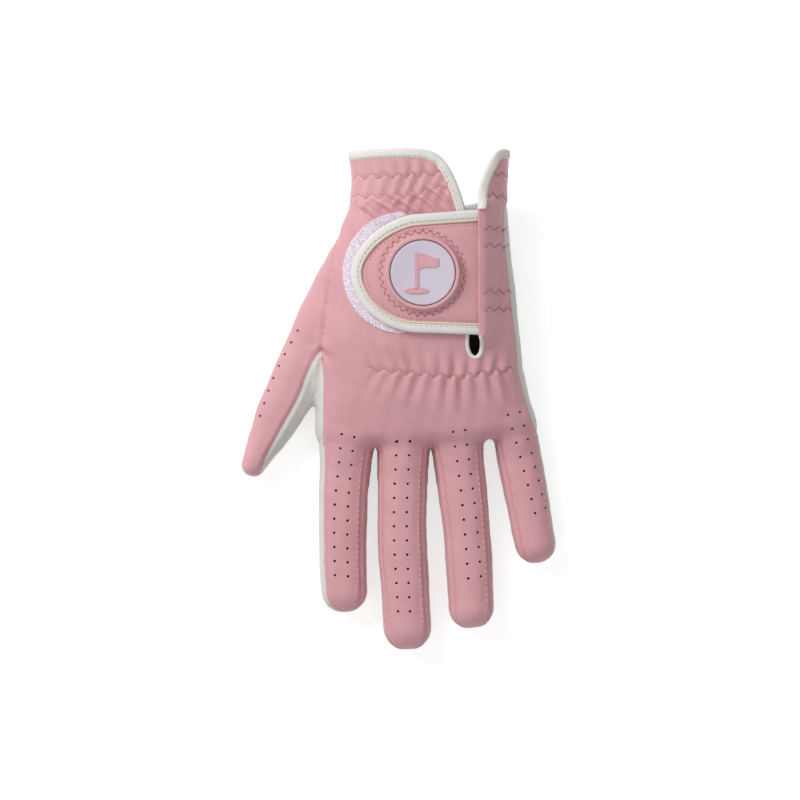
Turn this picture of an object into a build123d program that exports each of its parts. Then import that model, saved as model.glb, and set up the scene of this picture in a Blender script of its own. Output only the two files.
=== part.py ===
"""Left-hand golf glove, back upwards, in millimetres.

+X points to the little-finger side, +Y to the wrist and +Z out of the back of the hand.
The palm's flat underside lies on Z = 0, and the origin is on it, under the knuckles.
"""

from build123d import *
import math
import os

os.makedirs("parts", exist_ok=True)

# ---------------------------------------------------------------- driving dimensions
leather = 0.8  # thickness of the sheepskin panels
elastic = 0.6  # thickness of the elastic tapes sewn inside
fuzz = 0.6  # thickness of the loop and hook fabrics
binding = 0.5  # thickness of the binding tape
binding_width = 3.5  # how far the binding laps onto a panel
clearance = 0.3  # between pieces that move apart
joint_gap = 0.4  # between the hand and each digit
skim = 0.4  # how far the outer form sinks below the resting plane before it is cut flat

# The hand, from the wrist to the knuckles: place along Y, left edge, right edge, height
cuff_y = 93.0
hand_stations = [
    (cuff_y + 8, -19.0, 41.3, 37.0),
    (71.0, -19.0, 40.6, 36.4),
    (47.0, -27.5, 42.9, 35.0),
    (22.0, -29.4, 45.6, 33.6),
    (0.0, -29.4, 48.4, 28.6),
    (-28.0, -30.0, 53.6, 19.5),
]
corner_share = 0.45  # corner radius of the hand's and digits' sections, over the height
panel_split = 16.0  # height of the seam between the back and palm panels
knuckle_corner = (-30.0, -16.4)  # thumb-side end of the line of finger bases

# Each finger: slot across the knuckles, angle from -Y towards +X, length, widths and heights
finger_sizes = {
    "index": dict(slot=21.4, angle=-1.4, length=62.6, width=(20.8, 18.4, 16.4), height=(20.0, 17.6, 15.0)),
    "middle": dict(slot=20.4, angle=1.4, length=76.8, width=(19.8, 18.6, 17.2), height=(20.6, 18.0, 15.4)),
    "ring": dict(slot=20.4, angle=3.8, length=69.8, width=(19.8, 17.6, 16.4), height=(20.0, 17.4, 15.0)),
    "little": dict(slot=19.6, angle=9.4, length=48.2, width=(19.0, 16.2, 15.4), height=(19.0, 16.0, 14.0)),
}
finger_gap = 0.6  # between neighbouring finger tubes
fourchette_low = 5.5  # height of the seam between palm and fourchette
fourchette_high = 12.5  # height of the seam between fourchette and back

# The thumb, which leaves the hand's side: base centre, angle, length and sections
thumb_base = (-32.1, 20.3)
thumb_angle = -26.4
thumb_length = 54.5
thumb_root = 40.0  # length of the thumb's own form inside the hand
thumb_split = 9.0  # height of the seam round the thumb

# Openings in the back: the cuff's V, the slit under the tab and its round end
vee_left_top = 12.2
vee_right_top = 36.2
slit_left_x = 24.6
slit_right_x = 29.3
slit_end = (28.0, 22.0)
slit_end_radius = 2.6
vee_y = 71.0  # where the V narrows into the slit
palm_dip_x = 20.0  # middle of the palm's scooped edge, which is as deep as the V
palm_dip_half = 25.0

# Elastic tapes under the zigzag rows
wrist_elastic_y = 80.0
wrist_elastic_width = 11.0
knuckle_elastic_y = 11.5
knuckle_elastic_width = 6.0

# The closing tab
tab_root_x = 29.4
tab_y = 47.6
tab_half_width = 22.2
tab_tip_x = -16.7
tab_bend_x = 7.5  # where the straight edges meet the round end
lining = 0.4  # thickness of the tab's underside cloth
root_width = 5.5  # sewn length of the tab under the side fold
loop_reach = 4.0  # how far the loop patch shows beyond the tab's tip
loop_right_x = 18.0
hook_inset = 5.0

# The ball marker and its holder
marker_x = 9.0
marker_radius = 12.0
marker_thickness = 1.3
holder_rim = 1.7
holder_floor = 0.5
magnet_radius = 5.0
magnet_thickness = 0.9
flag_width = 8.0
flag_height = 13.0
flag_pin = 1.2
emblem_rise = 0.3


# ---------------------------------------------------------------- closed forms
def hand_form(grow, low):
    """Closed form of the hand, its sides and top moved out by grow, its floor at height low."""
    with BuildPart() as form:
        for y, left, right, height in hand_stations:
            top = height + grow
            with BuildSketch(Plane.XZ.offset(-y)):
                with Locations(((left + right) / 2, (low + top) / 2)):
                    RectangleRounded(right - left + 2 * grow, top - low, corner_share * (top - low))
        loft(ruled=True)
    return form.part


class Digit:
    """A finger or the thumb: where it leaves the hand, which way, and its sections."""

    def __init__(self, base, angle, sections):
        turn = math.radians(angle)
        self.base = base
        self.across = Vector(math.cos(turn), math.sin(turn), 0)
        self.along = Vector(math.sin(turn), -math.cos(turn), 0)
        self.sections = sections

    def plane(self, distance):
        """Plane square to the digit, with its own Y upwards, at a distance past the base."""
        return Plane(self.base + self.along * distance, x_dir=self.across, z_dir=self.along)

    def form(self, grow, low):
        """Closed form of the digit, moved out by grow, its floor at height low."""
        with BuildPart() as form:
            for distance, width, height, lift in self.sections(grow):
                bottom = low + lift
                tall = height + grow - lift - low
                wide = width + 2 * grow
                with BuildSketch(self.plane(distance)):
                    with Locations((0, bottom + tall / 2)):
                        RectangleRounded(wide, tall, corner_share * min(wide, tall))
            loft(ruled=True)
        return form.part


def finger_sections(length, width, height):
    """Sections of a finger with a rounded tip, as a function of the wall that is taken off."""

    def sections(grow):
        tip = length + grow
        radius = width[2] / 2 + grow
        rows = [
            (joint_gap if grow >= 0 else -joint_gap, width[0], height[0], 0),
            (0.3 * length, width[1], height[1], 0),
            (tip - radius, width[2], height[2], 0),
        ]
        for turn in (30, 55, 75):
            share = math.cos(math.radians(turn))
            reach = tip - radius + radius * math.sin(math.radians(turn))
            shrink = (1 - share) / 2
            rows.append(
                (
                    reach,
                    (width[2] + 2 * grow) * share - 2 * grow,
                    height[2] * (1 - shrink),
                    height[2] * shrink,
                )
            )
        return rows

    return sections


def thumb_sections(grow):
    """Sections of the thumb, from its root inside the hand to its slim tip."""
    tip = thumb_length + grow
    return [
        (-thumb_root, 12.0, 26.0, 0),
        (-thumb_root / 2, 22.0, 25.0, 0),
        (0, 19.6, 22.0, 0),
        (0.37 * thumb_length, 18.0, 19.0, 0),
        (0.56 * thumb_length, 16.8, 17.6, 0),
        (0.72 * thumb_length, 14.0, 16.0, 0.6),
        (0.90 * tip, 8.6, 12.6, 2.6),
        (tip, 4.0 - grow, 9.6 - grow, 5.0),
    ]


def plan_prism(low, high, sketch):
    """Upright prism of a plan sketch between two heights."""
    with BuildPart() as prism:
        add(extrude(Plane.XY.offset(low) * sketch, amount=high - low))
    return prism.part


def half_space(plane, reach=200):
    """Large block on the positive side of a plane, or on the other side where reach is negative."""
    with BuildPart() as block:
        with BuildSketch(plane):
            Rectangle(2 * abs(reach), 2 * abs(reach))
        extrude(amount=reach)
    return block.part


# The line of finger bases, from the thumb side: each finger stands square on its own stretch
fingers = {}
knuckle_line = [Vector(*knuckle_corner, 0)]
for name, size in finger_sizes.items():
    turn = math.radians(size["angle"])
    stretch = Vector(math.cos(turn), math.sin(turn), 0) * size["slot"]
    sections = finger_sections(size["length"], size["width"], size["height"])
    fingers[name] = Digit(knuckle_line[-1] + stretch / 2, size["angle"], sections)
    knuckle_line.append(knuckle_line[-1] + stretch)
thumb = Digit(Vector(*thumb_base, 0), thumb_angle, thumb_sections)

# ---------------------------------------------------------------- plan outlines
far = 70.0  # well outside the glove
sky = 60.0  # well above it

with BuildSketch() as finger_side:
    with BuildLine():
        Polyline(
            (-far, -far),
            (-far, knuckle_corner[1]),
            *[(point.X, point.Y) for point in knuckle_line],
            (far, knuckle_line[-1].Y),
            (far, -far),
            close=True,
        )
    make_face()

with BuildSketch() as back_opening:
    with BuildLine():
        Polyline(
            (-far, cuff_y),
            (vee_left_top, cuff_y),
            ((vee_left_top + slit_left_x) / 2, cuff_y - 7),
            (slit_left_x, vee_y),
            (slit_end[0] - 1.2, slit_end[1]),
            (slit_end[0] + 1.2, slit_end[1]),
            (slit_right_x, vee_y),
            (slit_right_x + 2.4, cuff_y - 10),
            (vee_right_top, cuff_y),
            (far, cuff_y),
            (far, cuff_y + far),
            (-far, cuff_y + far),
            close=True,
        )
    make_face()
    with Locations(slit_end):
        Circle(slit_end_radius)

with BuildSketch() as palm_opening:
    with BuildLine():
        Polyline((palm_dip_x - palm_dip_half, cuff_y), (-far, cuff_y), (-far, cuff_y + far))
        Polyline((-far, cuff_y + far), (far, cuff_y + far), (far, cuff_y), (palm_dip_x + palm_dip_half, cuff_y))
        ThreePointArc(
            (palm_dip_x - palm_dip_half, cuff_y), (palm_dip_x, vee_y), (palm_dip_x + palm_dip_half, cuff_y)
        )
    make_face()


def tab_outline(inset, middle_y, shift=0.0):
    """Plan of the tab: a straight root, two straight edges and a round end, made smaller by inset."""
    half = tab_half_width - inset
    with BuildSketch(mode=Mode.PRIVATE) as outline:
        with BuildLine():
            round_end = EllipticalCenterArc(
                (tab_bend_x + shift, middle_y), tab_bend_x - tab_tip_x - inset, half, 90, arc_size=180
            )
            Polyline(round_end @ 1, (tab_root_x, middle_y - half), (tab_root_x, middle_y + half), round_end @ 0)
        make_face()
    return outline.sketch


# ---------------------------------------------------------------- hand shell
outside = hand_form(0, -skim)
inside = hand_form(-leather, leather)
thumb_outside = thumb.form(0, -skim)
thumb_inside = thumb.form(-leather, leather)
past_thumb_base = half_space(thumb.plane(0))

with BuildPart() as hand_outer:
    add(outside)
    add(thumb_outside - past_thumb_base)
    split(bisect_by=Plane.XY, keep=Keep.TOP)

with BuildPart() as hand_inner:
    add(inside)
    add(thumb_inside - half_space(thumb.plane(joint_gap)))

with BuildPart() as hand_shell:
    add(hand_outer.part)
    add(hand_inner.part, mode=Mode.SUBTRACT)
    add(plan_prism(-skim - 1, sky, finger_side.sketch), mode=Mode.SUBTRACT)

with BuildPart() as back_panel:
    add(hand_shell.part)
    split(bisect_by=Plane.XY.offset(panel_split), keep=Keep.TOP)
    add(plan_prism(0, sky, back_opening.sketch), mode=Mode.SUBTRACT)

with BuildPart() as palm_panel:
    add(hand_shell.part)
    split(bisect_by=Plane.XY.offset(panel_split), keep=Keep.BOTTOM)
    add(plan_prism(-skim - 1, sky, palm_opening.sketch), mode=Mode.SUBTRACT)


# ---------------------------------------------------------------- digits
def digit_shell(digit):
    """Hollow leather tube of a digit, open at its base, clear of the hand."""
    with BuildPart() as shell:
        add(digit.form(0, -skim))
        add(digit.form(-leather, leather), mode=Mode.SUBTRACT)
        split(bisect_by=Plane.XY, keep=Keep.TOP)
    return shell.part


def sliced(shell, low, high, side=None):
    """Part of a shell between two heights, and on one side of a plane where one is given."""
    with BuildPart() as piece:
        add(shell)
        split(bisect_by=Plane.XY.offset(high), keep=Keep.BOTTOM)
        if low > 0:
            split(bisect_by=Plane.XY.offset(low), keep=Keep.TOP)
        if side is not None:
            split(bisect_by=side, keep=Keep.TOP)
    return piece.part


def middle_plane(digit, towards):
    """Upright plane along a digit, facing its +X side (1) or its -X side (-1)."""
    return Plane(digit.base, x_dir=digit.along, z_dir=digit.across * towards)


def save(piece, name):
    """Label a finished piece and write it as its own node."""
    piece.label = name
    export_step(piece, f"parts/{name}.step")


# Fourchettes stand between neighbouring fingers; a finger's outer side is wrapped by its palm
fourchette_sides = {"index": (1,), "middle": (-1, 1), "ring": (-1, 1), "little": (-1,)}
side_names = {1: "outer", -1: "inner"}
for name, finger in fingers.items():
    shell = digit_shell(finger)
    sides = fourchette_sides[name]

    with BuildPart() as finger_back:
        add(sliced(shell, fourchette_high, sky))
    save(finger_back.part, f"{name}_back")

    with BuildPart() as finger_palm:
        add(sliced(shell, 0, fourchette_low))
        for towards in {1, -1} - set(sides):
            add(sliced(shell, fourchette_low, fourchette_high, middle_plane(finger, towards)))
    save(finger_palm.part, f"{name}_palm")

    for towards in sides:
        with BuildPart() as fourchette:
            add(sliced(shell, fourchette_low, fourchette_high, middle_plane(finger, towards)))
        save(fourchette.part, f"{name}_fourchette_{side_names[towards]}")

with BuildPart() as thumb_shell:
    add(thumb_outside - half_space(thumb.plane(joint_gap), -200))
    add(thumb_inside, mode=Mode.SUBTRACT)
    split(bisect_by=Plane.XY, keep=Keep.TOP)
    add(hand_form(joint_gap, -2 * skim), mode=Mode.SUBTRACT)

with BuildPart() as thumb_back:
    add(sliced(thumb_shell.part, thumb_split, sky))
save(thumb_back.part, "thumb_back")

with BuildPart() as thumb_palm:
    add(sliced(thumb_shell.part, 0, thumb_split))
save(thumb_palm.part, "thumb_palm")


# ---------------------------------------------------------------- layers on the hand
def layer(low, high, plan, floor=panel_split):
    """Layer over or under the hand's outer face, between two distances from it, within a plan."""
    with BuildPart() as skin:
        add(hand_form(high, -skim))
        add(hand_form(low, -skim + (0 if low >= 0 else leather - low)), mode=Mode.SUBTRACT)
        add(plan_prism(floor, sky, plan), mode=Mode.INTERSECT)
    return skin.part


def plan_box(x_low, x_high, y_low, y_high):
    """Plan rectangle between two corners."""
    with BuildSketch(mode=Mode.PRIVATE) as box:
        with Locations(((x_low + x_high) / 2, (y_low + y_high) / 2)):
            Rectangle(x_high - x_low, y_high - y_low)
    return box.sketch


# Elastic tapes, sewn inside under the zigzag rows
elastic_tapes = {
    "wrist_elastic_thumb_side": (-14.0, 14.0, wrist_elastic_y, wrist_elastic_width),
    "wrist_elastic_little_side": (37.4, 41.0, wrist_elastic_y, wrist_elastic_width),
    "knuckle_elastic": (-17.0, 39.0, knuckle_elastic_y, knuckle_elastic_width),
}
for name, (left, right, y, width) in elastic_tapes.items():
    with BuildPart() as tape:
        add(layer(-leather - elastic, -leather, plan_box(left, right, y - width / 2, y + width / 2)))
    save(tape.part, name)

# The loop patch, glued and sewn to the back under the tab's tip
with BuildSketch() as loop_plan:
    add(tab_outline(1 - loop_reach, tab_y, shift=-1.0))
    split(bisect_by=Plane.YZ.offset(loop_right_x), keep=Keep.BOTTOM)
with BuildPart() as loop_patch:
    add(layer(0, fuzz, loop_plan.sketch))
save(loop_patch.part, "loop_patch")

# The tab's sewn root on the little-finger side of the slit, and the fold of leather over it
root_zone = plan_box(
    tab_root_x + clearance, tab_root_x + root_width, tab_y - tab_half_width, tab_y + tab_half_width
)
tab_stack = fuzz + clearance + fuzz + lining + leather
with BuildPart() as tab_root:
    add(layer(0, tab_stack, root_zone))
save(tab_root.part, "tab_root")
with BuildPart() as side_fold:
    add(layer(tab_stack, tab_stack + leather, root_zone))
save(side_fold.part, "side_fold")


# ---------------------------------------------------------------- bindings
def folded_binding(opening, bottom, top, shell_panel):
    """Binding tape folded over a panel's edge along an opening: outside, edge and inside."""
    with BuildSketch() as zone:
        add(opening)
        offset(amount=binding_width, kind=Kind.INTERSECTION)
        inner_edge = offset(opening, amount=-binding, kind=Kind.INTERSECTION, mode=Mode.PRIVATE)
        add(inner_edge, mode=Mode.SUBTRACT)
    with BuildPart() as tape:
        add(hand_form(binding, -skim))
        add(hand_form(-leather - binding, leather + binding), mode=Mode.SUBTRACT)
        add(plan_prism(bottom, top, zone.sketch), mode=Mode.INTERSECT)
        add(shell_panel, mode=Mode.SUBTRACT)
    return tape.part


with BuildPart() as back_binding:
    add(folded_binding(back_opening.sketch, panel_split, sky, back_panel.part))
    add(plan_prism(0, sky, root_zone), mode=Mode.SUBTRACT)
save(back_binding.part, "cuff_binding")

with BuildPart() as palm_binding:
    add(folded_binding(palm_opening.sketch, 0, panel_split, palm_panel.part))
save(palm_binding.part, "palm_binding")
save(back_panel.part, "back_panel")
save(palm_panel.part, "palm_panel")

# ---------------------------------------------------------------- tab
# The tab lies along the back of the hand, from its second to its fourth station
high_y, high_z = hand_stations[1][0], hand_stations[1][3]
low_y, low_z = hand_stations[3][0], hand_stations[3][3]
slope = math.atan2(high_z - low_z, high_y - low_y)
tab_plane = Plane(origin=(0, low_y, low_z), x_dir=(1, 0, 0), z_dir=(0, -math.sin(slope), math.cos(slope)))
along_tab = (tab_y - low_y) / math.cos(slope)  # the tab's middle, measured on its own plane
hook_low = fuzz + clearance
lining_low = hook_low + fuzz
leather_low = lining_low + lining
tab_top = leather_low + leather


def tab_slab(sketch, low, high):
    """Slab on the tab's own plane, between two distances above the back of the hand."""
    with BuildPart() as slab:
        add(extrude(tab_plane.offset(low) * sketch, amount=high - low))
    return slab.part


with BuildSketch() as magnet_plan:
    with Locations((marker_x, along_tab)):
        Circle(magnet_radius)
with BuildSketch() as holder_plan:
    with Locations((marker_x, along_tab)):
        Circle(marker_radius + clearance + holder_rim)
with BuildSketch() as recess_plan:
    with Locations((marker_x, along_tab)):
        Circle(marker_radius + clearance)
with BuildSketch() as marker_plan:
    with Locations((marker_x, along_tab)):
        Circle(marker_radius)


with BuildPart() as tab_leather:
    add(tab_slab(tab_outline(binding, along_tab), leather_low, tab_top))
save(tab_leather.part, "tab_leather")

with BuildPart() as tab_lining:
    add(tab_slab(tab_outline(binding, along_tab), lining_low, leather_low))
save(tab_lining.part, "tab_lining")

with BuildPart() as tab_binding:
    add(tab_slab(tab_outline(0, along_tab), lining_low - binding, tab_top + binding))
    add(tab_slab(tab_outline(binding_width, along_tab), lining_low - 2 * binding, tab_top + 2 * binding), mode=Mode.SUBTRACT)
    add(tab_slab(tab_outline(binding, along_tab), lining_low, tab_top), mode=Mode.SUBTRACT)
save(tab_binding.part, "tab_binding")

with BuildSketch() as hook_plan:
    add(tab_outline(hook_inset, along_tab))
    split(bisect_by=Plane.YZ.offset(loop_right_x), keep=Keep.BOTTOM)
with BuildPart() as hook_patch:
    add(tab_slab(hook_plan.sketch, hook_low, lining_low))
save(hook_patch.part, "tab_hook_patch")

# ---------------------------------------------------------------- ball marker
with BuildPart() as marker_magnet:
    add(tab_slab(magnet_plan.sketch, tab_top, tab_top + magnet_thickness))
save(marker_magnet.part, "marker_magnet")

marker_low = tab_top + magnet_thickness + holder_floor
marker_high = marker_low + marker_thickness
with BuildPart() as marker_holder:
    add(tab_slab(holder_plan.sketch, tab_top, marker_high))
    add(tab_slab(recess_plan.sketch, marker_low, marker_high + clearance), mode=Mode.SUBTRACT)
    add(marker_magnet.part, mode=Mode.SUBTRACT)
save(marker_holder.part, "marker_holder")

with BuildPart() as marker_disc:
    add(tab_slab(marker_plan.sketch, marker_low, marker_high))
save(marker_disc.part, "marker_disc")

# A plain flag on its pin, raised on the marker's face
with BuildSketch(tab_plane.offset(marker_high)) as flag:
    with Locations((marker_x - flag_width / 2, along_tab)):
        Rectangle(flag_pin, flag_height)
    with BuildLine():
        Polyline(
            (marker_x - flag_width / 2, along_tab + flag_height / 2),
            (marker_x + flag_width / 2, along_tab + flag_height / 4),
            (marker_x - flag_width / 2, along_tab),
            close=True,
        )
    make_face()
    with Locations((marker_x - flag_width / 2, along_tab - flag_height / 2)):
        Ellipse(flag_width / 2, flag_pin)
with BuildPart() as marker_emblem:
    add(extrude(flag.sketch, amount=emblem_rise))
save(marker_emblem.part, "marker_emblem")
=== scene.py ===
"""Left-hand golf glove: puffed sheepskin panels cut from one smooth form, with bindings, a closing tab,
a ball marker, elastic gathers, stitches and perforations."""

import logging
import math
from dataclasses import dataclass, field
from enum import Enum
from typing import Callable, Sequence

import bpy
import numpy as np
import openvdb
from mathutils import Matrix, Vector
from mathutils.bvhtree import BVHTree

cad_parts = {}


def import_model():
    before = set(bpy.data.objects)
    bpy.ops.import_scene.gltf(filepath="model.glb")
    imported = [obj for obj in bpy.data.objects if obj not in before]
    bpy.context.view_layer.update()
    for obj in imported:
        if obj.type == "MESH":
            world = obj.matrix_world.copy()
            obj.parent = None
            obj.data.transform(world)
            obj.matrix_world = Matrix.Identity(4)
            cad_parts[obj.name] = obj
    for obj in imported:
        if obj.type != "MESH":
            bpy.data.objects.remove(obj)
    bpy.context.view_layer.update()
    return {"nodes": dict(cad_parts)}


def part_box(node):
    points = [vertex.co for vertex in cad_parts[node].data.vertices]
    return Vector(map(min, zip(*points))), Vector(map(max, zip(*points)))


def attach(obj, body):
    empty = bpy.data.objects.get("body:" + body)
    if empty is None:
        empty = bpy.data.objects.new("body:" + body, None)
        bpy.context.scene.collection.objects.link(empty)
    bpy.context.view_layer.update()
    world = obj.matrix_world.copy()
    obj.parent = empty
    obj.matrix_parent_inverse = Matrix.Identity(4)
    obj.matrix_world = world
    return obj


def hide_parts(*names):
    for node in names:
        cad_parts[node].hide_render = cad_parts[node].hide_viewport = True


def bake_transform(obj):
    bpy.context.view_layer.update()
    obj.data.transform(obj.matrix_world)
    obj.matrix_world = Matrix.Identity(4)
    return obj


logging.basicConfig(level=logging.INFO, format="%(message)s")
log = logging.getLogger("glove")

MM = 0.001  # every size below is in millimetres; meshes are made in metres
Array = np.ndarray


# ------------------------------------------------------------------ small maths
def smooth_step(value: Array, low: float, high: float) -> Array:
    """Rise smoothly from 0 at low to 1 at high.

    Args:
        value: Numbers to judge.
        low: Where the rise starts.
        high: Where it ends.

    Returns:
        Shares between 0 and 1.
    """
    t = np.clip((value - low) / (high - low), 0.0, 1.0)
    return t * t * (3 - 2 * t)


def smooth_min(a: Array, b: Array, blend: float) -> Array:
    """Smaller of two fields, rounded where they meet.

    Args:
        a: First field.
        b: Second field.
        blend: Difference of the fields over which they are rounded.

    Returns:
        The joined field.
    """
    h = np.clip(0.5 + 0.5 * (b - a) / blend, 0.0, 1.0)
    return b * (1 - h) + a * h - blend * h * (1 - h)


def bell(value: Array, width: float) -> Array:
    """Bell curve of a value, 1 at zero.

    Args:
        value: Numbers to judge.
        width: Distance at which the curve has fallen to a third.

    Returns:
        Shares between 0 and 1.
    """
    return np.exp(-((value / width) ** 2))


def unit(vectors: Array, least: float = 1e-9) -> Array:
    """Scale vectors to length 1.

    Args:
        vectors: Vectors along the last axis.
        least: Shortest length to divide by.

    Returns:
        The unit vectors.
    """
    return vectors / np.maximum(np.linalg.norm(vectors, axis=-1, keepdims=True), least)


def distances(path: Array) -> Array:
    """Distance along a path in space to each of its points, from 0."""
    return np.concatenate([[0], np.cumsum(np.linalg.norm(np.diff(path, axis=0), axis=1))])


def plan_distances(path: Array) -> Array:
    """Distance along a path in plan to each of its points, from 0."""
    return np.concatenate([[0], np.cumsum(np.hypot(*np.diff(path, axis=0).T))])


def rows_at(at: Array, total: Array, rows: Array) -> Array:
    """Find rows of numbers between a path's points.

    Args:
        at: Distances along the path.
        total: Distance to each of the path's points.
        rows: One row of numbers for each of those points.

    Returns:
        One row for each distance.
    """
    return np.stack([np.interp(at, total, column) for column in rows.T], 1)


def plan_box(low: tuple[float, float], high: tuple[float, float]) -> list[tuple[float, float]]:
    """Corners of a rectangle in plan, from its lowest and highest ones."""
    return [low, (high[0], low[1]), high, (low[0], high[1])]


def outline_distance(x: Array, y: Array, outline: Sequence[tuple[float, float]]) -> Array:
    """Signed distance in plan to a closed outline.

    Args:
        x: Places across.
        y: Places along.
        outline: Corners of the outline in order.

    Returns:
        Distances, negative inside the outline.
    """
    best = np.full(x.shape, 1e9)
    inside = np.zeros(x.shape, bool)
    for (ax, ay), (bx, by) in zip(outline, outline[1:] + outline[:1]):
        dx, dy = bx - ax, by - ay
        t = np.clip(((x - ax) * dx + (y - ay) * dy) / (dx * dx + dy * dy), 0, 1)
        best = np.minimum(best, np.hypot(x - ax - t * dx, y - ay - t * dy))
        crosses = (ay > y) != (by > y)
        inside ^= crosses & (x < (bx - ax) * (y - ay) / (by - ay + 1e-12) + ax)
    return np.where(inside, -best, best)


def rounded_path(points: Sequence[tuple[float, float]], rounds: int = 3) -> list[tuple[float, float]]:
    """Cut the corners of an open path until it is smooth.

    Args:
        points: Corners of the path.
        rounds: How often each corner is cut.

    Returns:
        The smooth path, with the same ends.
    """
    path = [np.array(p, float) for p in points]
    for _ in range(rounds):
        fresh = [path[0]]
        for a, b in zip(path, path[1:]):
            fresh += [0.75 * a + 0.25 * b, 0.25 * a + 0.75 * b]
        path = fresh + [path[-1]]
    return [tuple(p) for p in path]


# ------------------------------------------------------------------ sheets of leather
@dataclass
class Sheet:
    """A stretch of surface without thickness: points, triangles and outward normals."""

    points: Array
    faces: Array
    normals: Array

    def split(self, values: Array) -> tuple["Sheet", "Sheet"]:
        """Cut the sheet along the line where values change sign.

        Args:
            values: One number for each point.

        Returns:
            The stretch with positive values, then the one with negative values.
        """
        values = np.where(np.abs(values) < 1e-3, 1e-3, values)
        positive = values > 0
        corner = positive[self.faces]
        count = corner.sum(1)
        keep, drop = self.faces[count == 3], self.faces[count == 0]
        mixed = self.faces[(count == 1) | (count == 2)]
        lone = positive[mixed].sum(1) == 1
        apex = np.argmax(positive[mixed] == lone[:, None], axis=1)
        rows = np.arange(len(mixed))
        a = mixed[rows, apex]
        b = mixed[rows, (apex + 1) % 3]
        c = mixed[rows, (apex + 2) % 3]
        edges = np.sort(np.concatenate([np.stack([a, b], 1), np.stack([a, c], 1)]), axis=1)
        unique, index = np.unique(edges, axis=0, return_inverse=True)
        index = index.reshape(-1)
        v0, v1 = values[unique[:, 0]], values[unique[:, 1]]
        t = (v0 / (v0 - v1))[:, None] if len(unique) else np.zeros((0, 1))
        points = self.points[unique[:, 0]] * (1 - t) + self.points[unique[:, 1]] * t
        normals = self.normals[unique[:, 0]] * (1 - t) + self.normals[unique[:, 1]] * t
        normals = unit(normals)
        base = len(self.points)
        ab, ac = base + index[: len(a)], base + index[len(a):]
        tip = np.stack([a, ab, ac], 1)
        rest = np.concatenate([np.stack([ab, b, c], 1), np.stack([ab, c, ac], 1)])
        twice = np.concatenate([lone, lone])
        inside = np.concatenate([keep, tip[lone], rest[~twice]])
        outside = np.concatenate([drop, tip[~lone], rest[twice]])
        points = np.concatenate([self.points, points])
        normals = np.concatenate([self.normals, normals])
        return Sheet(points, inside, normals).packed(), Sheet(points, outside, normals).packed()

    def packed(self) -> "Sheet":
        """The same sheet without the points that no triangle uses."""
        used, faces = np.unique(self.faces, return_inverse=True)
        return Sheet(self.points[used], faces.reshape(-1, 3), self.normals[used])

    def cut(self, rule: Callable[[Array], Array]) -> "Sheet":
        """The stretch where a rule of the points is positive."""
        return self.split(rule(self.points))[0]

    def border(self) -> Array:
        """Directed edges that only one triangle uses."""
        edges = np.concatenate([self.faces[:, [0, 1]], self.faces[:, [1, 2]], self.faces[:, [2, 0]]])
        keys = np.sort(edges, axis=1)
        _, index, count = np.unique(keys, axis=0, return_inverse=True, return_counts=True)
        return edges[count[index.reshape(-1)] == 1]

    def loops(self) -> list[Array]:
        """Border edges joined into paths of point numbers, the longest first."""
        follow = {int(a): int(b) for a, b in self.border()}
        paths = []
        while follow:
            start = next(iter(follow))
            path = [start]
            while path[-1] in follow:
                path.append(follow.pop(path[-1]))
            paths.append(np.array(path))
        return sorted(paths, key=len, reverse=True)


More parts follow.
